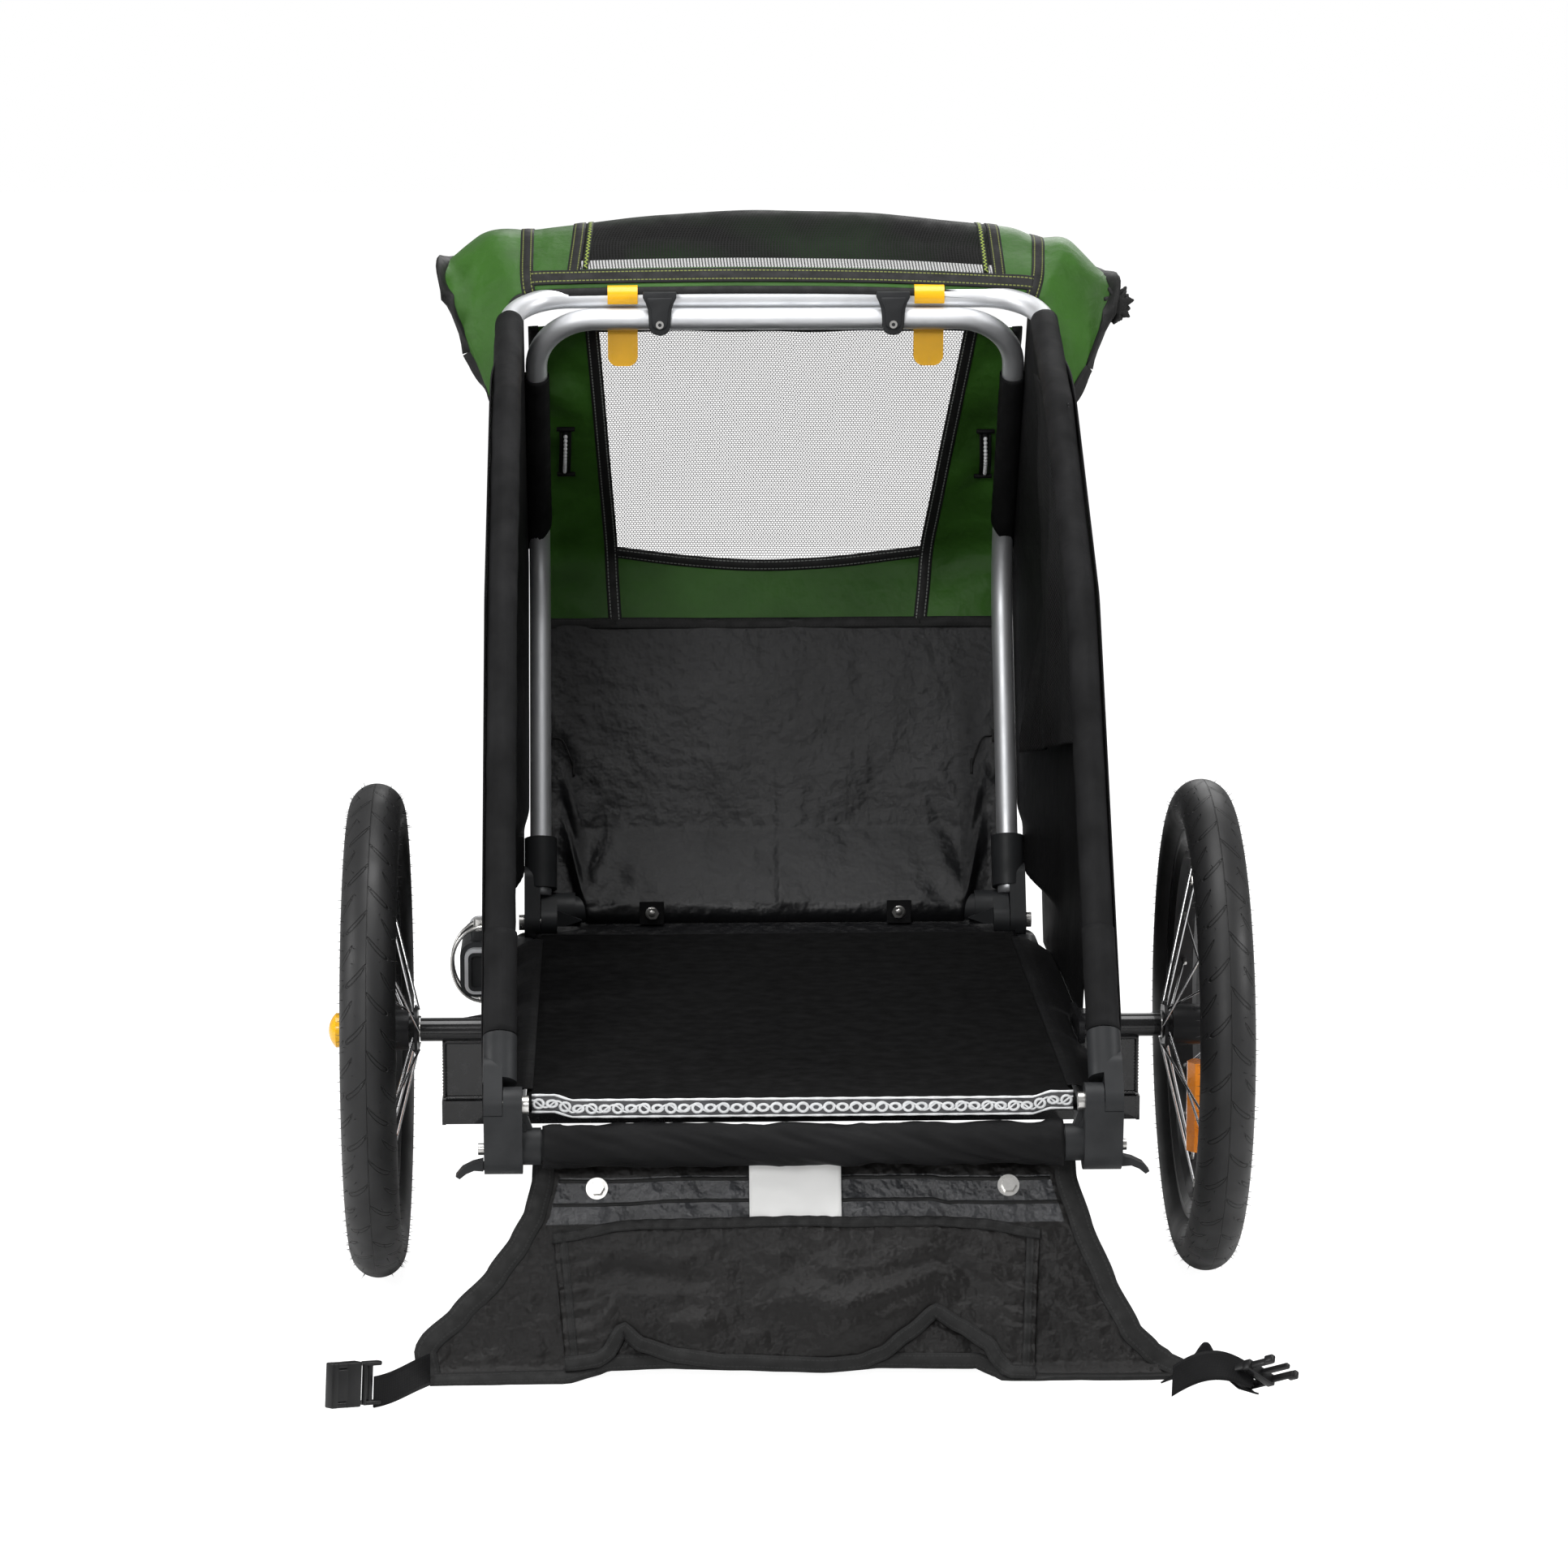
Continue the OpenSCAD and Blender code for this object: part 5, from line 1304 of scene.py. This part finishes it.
cover_net = netting("cover_net", 0.0027, 0.00116)
doubled_net, tree, shader, bumps = finished("doubled_net", (0.009, 0.009, 0.009), 0.6, bump=0.1, scale=60,
                                            fine=900, gloss=0.08)
strand = use_group(tree, net_group, {"Vector": uv_point(tree), "Pitch": 0.0027, "Hole": 0.0009})["Strand"]
# The holes are not seen through: they are painted near-black, in cloudy patches of dark green, as painted shade seen
# through the two layers of net.
cloud = put(tree, "TexNoise", {"Vector": object_point(tree), "Scale": 9.0}).outputs[0]
behind = spread(tree, cloud, 0.0, 1.0, 0.42, 0.62)
through = blended(tree, behind, (0.0012, 0.0015, 0.001, 1), (0.006, 0.022, 0.004, 1))
tree.links.new(blended(tree, strand, through, (0.013, 0.013, 0.013, 1)), shader.inputs["Base Color"])
raised(tree, shader, bumps, strand, 0.8, 0.0006)
cover = flat_grid("rear_cover_cloth", 240, 100, cover_shape, [green_nylon, cover_net, doubled_net], kinds=cover_kind,
                  solid=0.0008)
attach(cover, "rear_hoop")
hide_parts("rear_cover")


def build_zigzag():
    """A zigzag row of thread on the cloth map, in metres along and 0 to 1 across."""
    tree, given, out = group("zigzag", [("Vector", "Vector", None), ("Length", "Float", 0.0052)],
                             [("Thread", "Float")])
    parts = put(tree, "SeparateXYZ", {0: given["Vector"]}).outputs
    phase = maths(tree, "FRACT", maths(tree, "DIVIDE", parts[0], given["Length"]))
    saw = maths(tree, "ABSOLUTE", maths(tree, "MULTIPLY_ADD", phase, 2.0, -1.0))
    line = maths(tree, "ABSOLUTE", maths(tree, "SUBTRACT", parts[1], maths(tree, "MULTIPLY_ADD", saw, 0.5, 0.25)))
    tree.links.new(maths(tree, "LESS_THAN", line, 0.12), out.inputs["Thread"])
    return tree


zigzag = build_zigzag()
net_hem, tree, shader, bumps = finished("net_hem", (0.012, 0.016, 0.010), 0.6, bump=0.3, depth=0.0004, scale=90,
                                        fine=1500)
sewn = use_group(tree, zigzag, {"Vector": uv_point(tree)})["Thread"]
recoloured(tree, shader, sewn, (0.28, 0.36, 0.06))
cover_tapes = [(line_across(0.245, seams[0] + 0.01, seams[1] - 0.01), 0.0145, green_tape, 0.0011)]
cover_tapes += [(line_up(u, 0.06, 0.99), 0.0115, green_tape, 0.0011) for u in seams]
cover_tapes += [(line_up(u, 0.27, 0.99), 0.011, green_tape, 0.0011) for u in window]
cover_tapes += [(line_up(u, 0.33, 0.99), 0.005, net_hem, 0.0009) for u in (window[0] + 0.0125, window[1] - 0.0125)]
cover_tapes += [(line_up(u), 0.012, plain_tape, 0.0011) for u in (0.0, 1.0)]
cover_tapes += [(line_across(1.0), 0.012, plain_tape, 0.0011), (line_across(0.0), 0.007, plain_tape, 0.0011)]
cover_trim = [tape_along("seam", cover_shape, route, width, cloth, lift) for route, width, cloth, lift in cover_tapes]
# The right wing's corner, where the binding's loose end is bunched up
wing_corner = at(299, 410, 751)
bpy.ops.mesh.primitive_ico_sphere_add(subdivisions=5, radius=0.011, location=wing_corner)
bunch = bpy.context.object
bpy.ops.object.transform_apply(location=True, rotation=False, scale=False)
for vertex in bunch.data.vertices:
    out = vertex.co - wing_corner
    crush = abs(noise_at(*(out * 190))) - 0.25
    vertex.co = wing_corner + Vector((out.x * (0.95 + 1.3 * crush), out.y * 0.9, out.z * (1.3 + 1.1 * crush)))
bunch.data.materials.append(plain_tape)
bpy.ops.object.shade_smooth()
cover_trim.append(settle(bunch))
cover_trim = joined("cover_bindings", cover_trim)
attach(cover_trim, "rear_hoop")


# ---- Rear gate ----
# The lowered rear flap: coated black nylon with a shiny stiffened band under its hinge and a gathered pocket
# on its face. Its hollow sides are bound, and its lower corners run out into the strap tabs.
gate_cloth = woven("gate_nylon", (0.0062, 0.0056, 0.0054), 0.3, creases=10, crease_depth=0.009, strength=0.9,
                   vary=0.5, gloss=0.24)
shiny_band = woven("shiny_band", (0.022, 0.023, 0.026), 0.26, creases=30, crease_depth=0.007, strength=1.0,
                   vary=0.35, gloss=0.6)
gate_tilt = 245.3
hinge = at(0, -262, 168)
face_start = hinge + polar(18.8, gate_tilt + 90)
down = polar(1, gate_tilt) * 1000
# Distance down the gate and half width there, then place across its foot and distance down there
left_flare = ((0, 197), (24, 198), (49, 204), (70, 215), (96, 233), (126, 261), (147, 284), (153, 287), (176, 283))
right_flare = ((0, 200), (24, 201), (61, 212), (105, 229), (142, 247), (158, 262), (167, 274), (171, 284),
               (176, 284))
flap_ends = ((-290, 174), (-185, 172.5), (-160, 167), (-149, 163), (-98, 162), (17, 166), (57, 163), (138, 164),
             (152, 175), (290, 175.5))


def along_points(points, t):
    """The second value at t, eased between the nearest two points of a list."""
    for (a, p), (b, q) in zip(points, points[1:]):
        if t <= b:
            return p + (q - p) * ease((t - a) / (b - a)) * 0.35 + (q - p) * max(0, (t - a) / (b - a)) * 0.65
    return points[-1][1]


def gate_half(s, hand):
    return along_points(left_flare if hand < 0 else right_flare, s)


def gate_point(x, s, lift=0.0):
    """A point on the gate s millimetres below the start of its face, x from its middle, lifted to the rear."""
    ripple = 0.0018 * noise_at(x * 0.022, s * 0.03, 2)
    ripple += 0.0009 * noise_at(x * 0.06, s * 0.08, 5)
    toe = max(0.0, s - 166) * 0.6
    p = face_start + down * (s / 1000) - polar(lift, gate_tilt + 90)
    z = max(p.z, 0.0012 + lift * 0.0001)
    return Vector((x / 1000, p.y - (toe / 1000 if abs(x) > 150 else 0) + max(-0.0007, ripple), z))


def gate_shape(u, v):
    """u across from left to right, v down from the hinge to the ground."""
    end = along_points(flap_ends, 570 * u - 285)
    s = 2 + (end - 2) * v
    half = gate_half(s, -1 if u < 0.5 else 1)
    return gate_point(half * (2 * u - 1), s)


def gate_kind(u, v):
    s = 2 + 166 * v
    return 1 if 21.5 < s < 56 and 0.03 < u < 0.97 else 0


gate = flat_grid("gate_cloth", 170, 96, gate_shape, [gate_cloth, shiny_band], kinds=gate_kind, solid=0.0014)
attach(gate, "gate")
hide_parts("rear_gate")

pocket_edge = ((-184, 166), (-172, 165), (-158, 163), (-150, 158), (-138, 138), (-124, 151), (-98, 160), (-60, 165),
               (17, 168), (40, 166), (57, 160), (78, 144), (99, 127), (118, 139), (139, 153), (146, 166), (154, 174),
               (184, 175))


def pocket_shape(u, v):
    """The pocket's face: u across, v down from its bound mouth to its elastic edge."""
    x_top, x_foot = -190 + 370 * u, -181 + 354 * u
    foot = along_points(pocket_edge, x_foot)
    rise = 7 * math.exp(-(u / 0.09) ** 2) + 6 * math.exp(-((1 - u) / 0.07) ** 2) - 4 * math.sin(math.pi * u)
    top = 60 + rise
    s = top + (foot - top) * v
    x = x_top + (x_foot - x_top) * v
    full = math.sin(math.pi * min(1, v * 0.86 + 0.1)) * math.sin(math.pi * max(0, min(1, u))) ** 0.45
    fold = 0.55 + 0.55 * noise_at(u * 4.2, v * 1.9 - u * 1.5, 6) \
        + 0.28 * noise_at(u * 11, v * 6, 1)
    sides = math.exp(-(u / 0.07) ** 2) + math.exp(-((1 - u) / 0.07) ** 2)
    gather = 1.5 * math.sin(v * 46 + 3 * noise_at(0, v * 6, u * 3)) * sides * math.sin(math.pi * v)
    mouth = 1.2 * math.sin(u * 150 + 5 * noise_at(u * 9, 0, 0)) * math.exp(-(v / 0.06) ** 2)
    return gate_point(x, s, 2.6 + 19 * full * fold + gather + mouth)


pocket = flat_grid("gate_pocket", 200, 84, pocket_shape, gate_cloth, solid=0.0012)
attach(pocket, "gate")
gate_trim = [tape_along("bind", shape, route, width, plain_tape, lift) for shape, route, width, lift in (
    (gate_shape, line_up(0.0), 0.017, 0.0014), (gate_shape, line_up(1.0), 0.017, 0.0014),
    (gate_shape, line_across(1.0), 0.012, 0.0014), (gate_shape, line_across(0.235, 0.03, 0.97), 0.0028, 0.0008),
    (gate_shape, line_across(0.13, 0.03, 0.97), 0.003, 0.0008), (pocket_shape, line_across(0.015), 0.0085, 0.0016),
    (pocket_shape, line_across(0.985), 0.0115, 0.002), (pocket_shape, line_up(0.02), 0.006, 0.0012),
    (pocket_shape, line_up(0.98), 0.006, 0.0012))]
gate_trim = joined("gate_bindings", gate_trim)
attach(gate_trim, "gate")


# ---- Blank tag ----
# A folded white satin tag sewn into the gate's hinge seam, left bare.
satin = woven("white_satin", (0.78, 0.78, 0.77), 0.5, threads=2200, creases=20, crease_depth=0.001, vary=0.03)


def tag_shape(u, v):
    curl = 5 * (1 - v) ** 6 + 1.6 * math.sin(math.pi * u) * v
    return gate_point(-41 + 70 * u, 9 + 46 * v, 4.5 + curl)


tag = flat_grid("blank_tag", 24, 30, tag_shape, satin, solid=0.0005)
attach(tag, "gate")

# ---- Straps and buckles ----
# Black webbing from the gate's lower corners to the two halves of a side-release buckle. The left strap stands on
# its edge, and the right one is twisted, with its loose tail hanging back from the buckle.
acetal = finished("buckle_acetal", (0.011, 0.011, 0.0115), 0.32, bump=0.12, depth=0.0003, scale=60, fine=900)[0]
strap_pivot = {"left": pivots["left_strap_swing"], "right": pivots["right_strap_swing"]}
splay = math.radians(40)  # how far a strap runs back from straight out


def ground_way(sign):
    """The way a strap lies on the ground, out from the gate's corner."""
    return Vector((sign * math.cos(splay), -math.sin(splay), 0))


def left_strap_shape(u, v):
    p = strap_pivot["left"] + ground_way(-1) * (0.0145 + 0.0655 * u)
    away = Vector((-0.0095, 0.0075, 0)) * (1 - u) ** 2
    lean = Vector((0.35, -0.9, 0)) * (0.004 * math.sin(u * 2.4) + 0.003 * v * u)
    return p + away + lean + Vector((0, 0, 0.0018 + 0.0245 * v + 0.0012 * math.sin(u * 5)))


def right_strap_shape(u, v):
    p = strap_pivot["right"] + ground_way(1) * (0.0145 + 0.072 * u)
    turn = math.radians(8 + 150 * ease(u * 1.15))
    side = Vector((math.sin(splay), math.cos(splay), 0))
    across = side * math.cos(turn) + Vector((0, 0, 1)) * math.sin(turn)
    rise = 0.0035 + 0.0125 * math.sin(math.pi * min(1, u * 1.05)) + 0.0125 * abs(math.sin(turn)) * 0.75
    return p + across * 0.0245 * (v - 0.5) + Vector((0, 0, rise))


def tail_shape(u, v):
    start = strap_pivot["right"] + ground_way(1) * 0.088
    back = Vector((-1, 0.28, 0)).normalized()
    side = Vector((0.28, 1, 0)).normalized()
    p = start + back * 0.062 * u + Vector((0, -0.006 - 0.010 * u, 0))
    turn = math.radians(20 + 62 * u)
    across = side * math.cos(turn) + Vector((0, 0, 1)) * math.sin(turn)
    height = 0.0125 + 0.018 * math.sin(math.pi * (0.12 + u * 0.75)) - 0.004 * u
    return p + across * 0.0235 * (v - 0.5) + Vector((0, 0, max(0.0145 * math.sin(turn), height)))


# Each bar's middle and size, in the buckle's along, through and upright directions
socket_bars = [((0.007, 0, 0), (0.004, 0.006, 0.031)), ((0.013, 0.0022, 0), (0.003, 0.0035, 0.031)),
               ((0.030, 0, 0.0145), (0.026, 0.0085, 0.0045)), ((0.030, 0, -0.0145), (0.026, 0.0085, 0.0045)),
               ((0.024, 0, 0), (0.014, 0.0095, 0.0335)), ((0.041, 0, 0), (0.006, 0.0095, 0.0335)),
               ((0.034, 0.0038, 0), (0.012, 0.0018, 0.024)), ((0.034, -0.0038, 0), (0.012, 0.0018, 0.024)),
               ((0.005, 0, 0.0145), (0.016, 0.0065, 0.0035)), ((0.005, 0, -0.0145), (0.016, 0.0065, 0.0035))]
prong_bars = [((0.004, 0, 0), (0.004, 0.006, 0.029)), ((0.010, 0.002, 0), (0.003, 0.0035, 0.029)),
              ((0.008, 0, 0.0135), (0.020, 0.0065, 0.0035)), ((0.008, 0, -0.0135), (0.020, 0.0065, 0.0035)),
              ((0.019, 0, 0), (0.007, 0.0085, 0.0315)), ((0.034, 0, 0), (0.026, 0.004, 0.0045)),
              ((0.031, 0, 0.0125), (0.022, 0.0055, 0.0032)), ((0.031, 0, -0.0125), (0.022, 0.0055, 0.0032)),
              ((0.040, 0, 0.0142), (0.008, 0.0062, 0.0048)), ((0.040, 0, -0.0142), (0.008, 0.0062, 0.0048))]
for side, sign, bars, upright in (("left", -1, socket_bars, 84), ("right", 1, prong_bars, 38)):
    shapes = [left_strap_shape] if sign < 0 else [right_strap_shape, tail_shape]
    for k, shape in enumerate(shapes):
        name = side + "_webbing" if k == 0 else side + "_tail"
        strip = flat_grid(name, 48, 8, shape, webbing, solid=0.0014)
        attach(strip, side + "_strap")
        if k == 0:
            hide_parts(side + "_strap")
    clip = joined(side + "_clip", [block(middle, size, acetal, 0.0012, limit="NONE") for middle, size in bars])
    heading = math.pi + splay if sign < 0 else -splay
    lift = 0.0185 if sign < 0 else 0.0155
    clip.data.transform(Matrix.Translation(strap_pivot[side] + ground_way(sign) * 0.076 + Vector((0, 0, lift)))
                        @ Matrix.Rotation(heading, 4, "Z")
                        @ Matrix.Rotation(math.radians(-8 if sign < 0 else -22), 4, "Y")
                        @ Matrix.Rotation(math.radians(90 - upright), 4, "X"))
    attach(clip, side + "_strap")
    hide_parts(side + "_buckle")
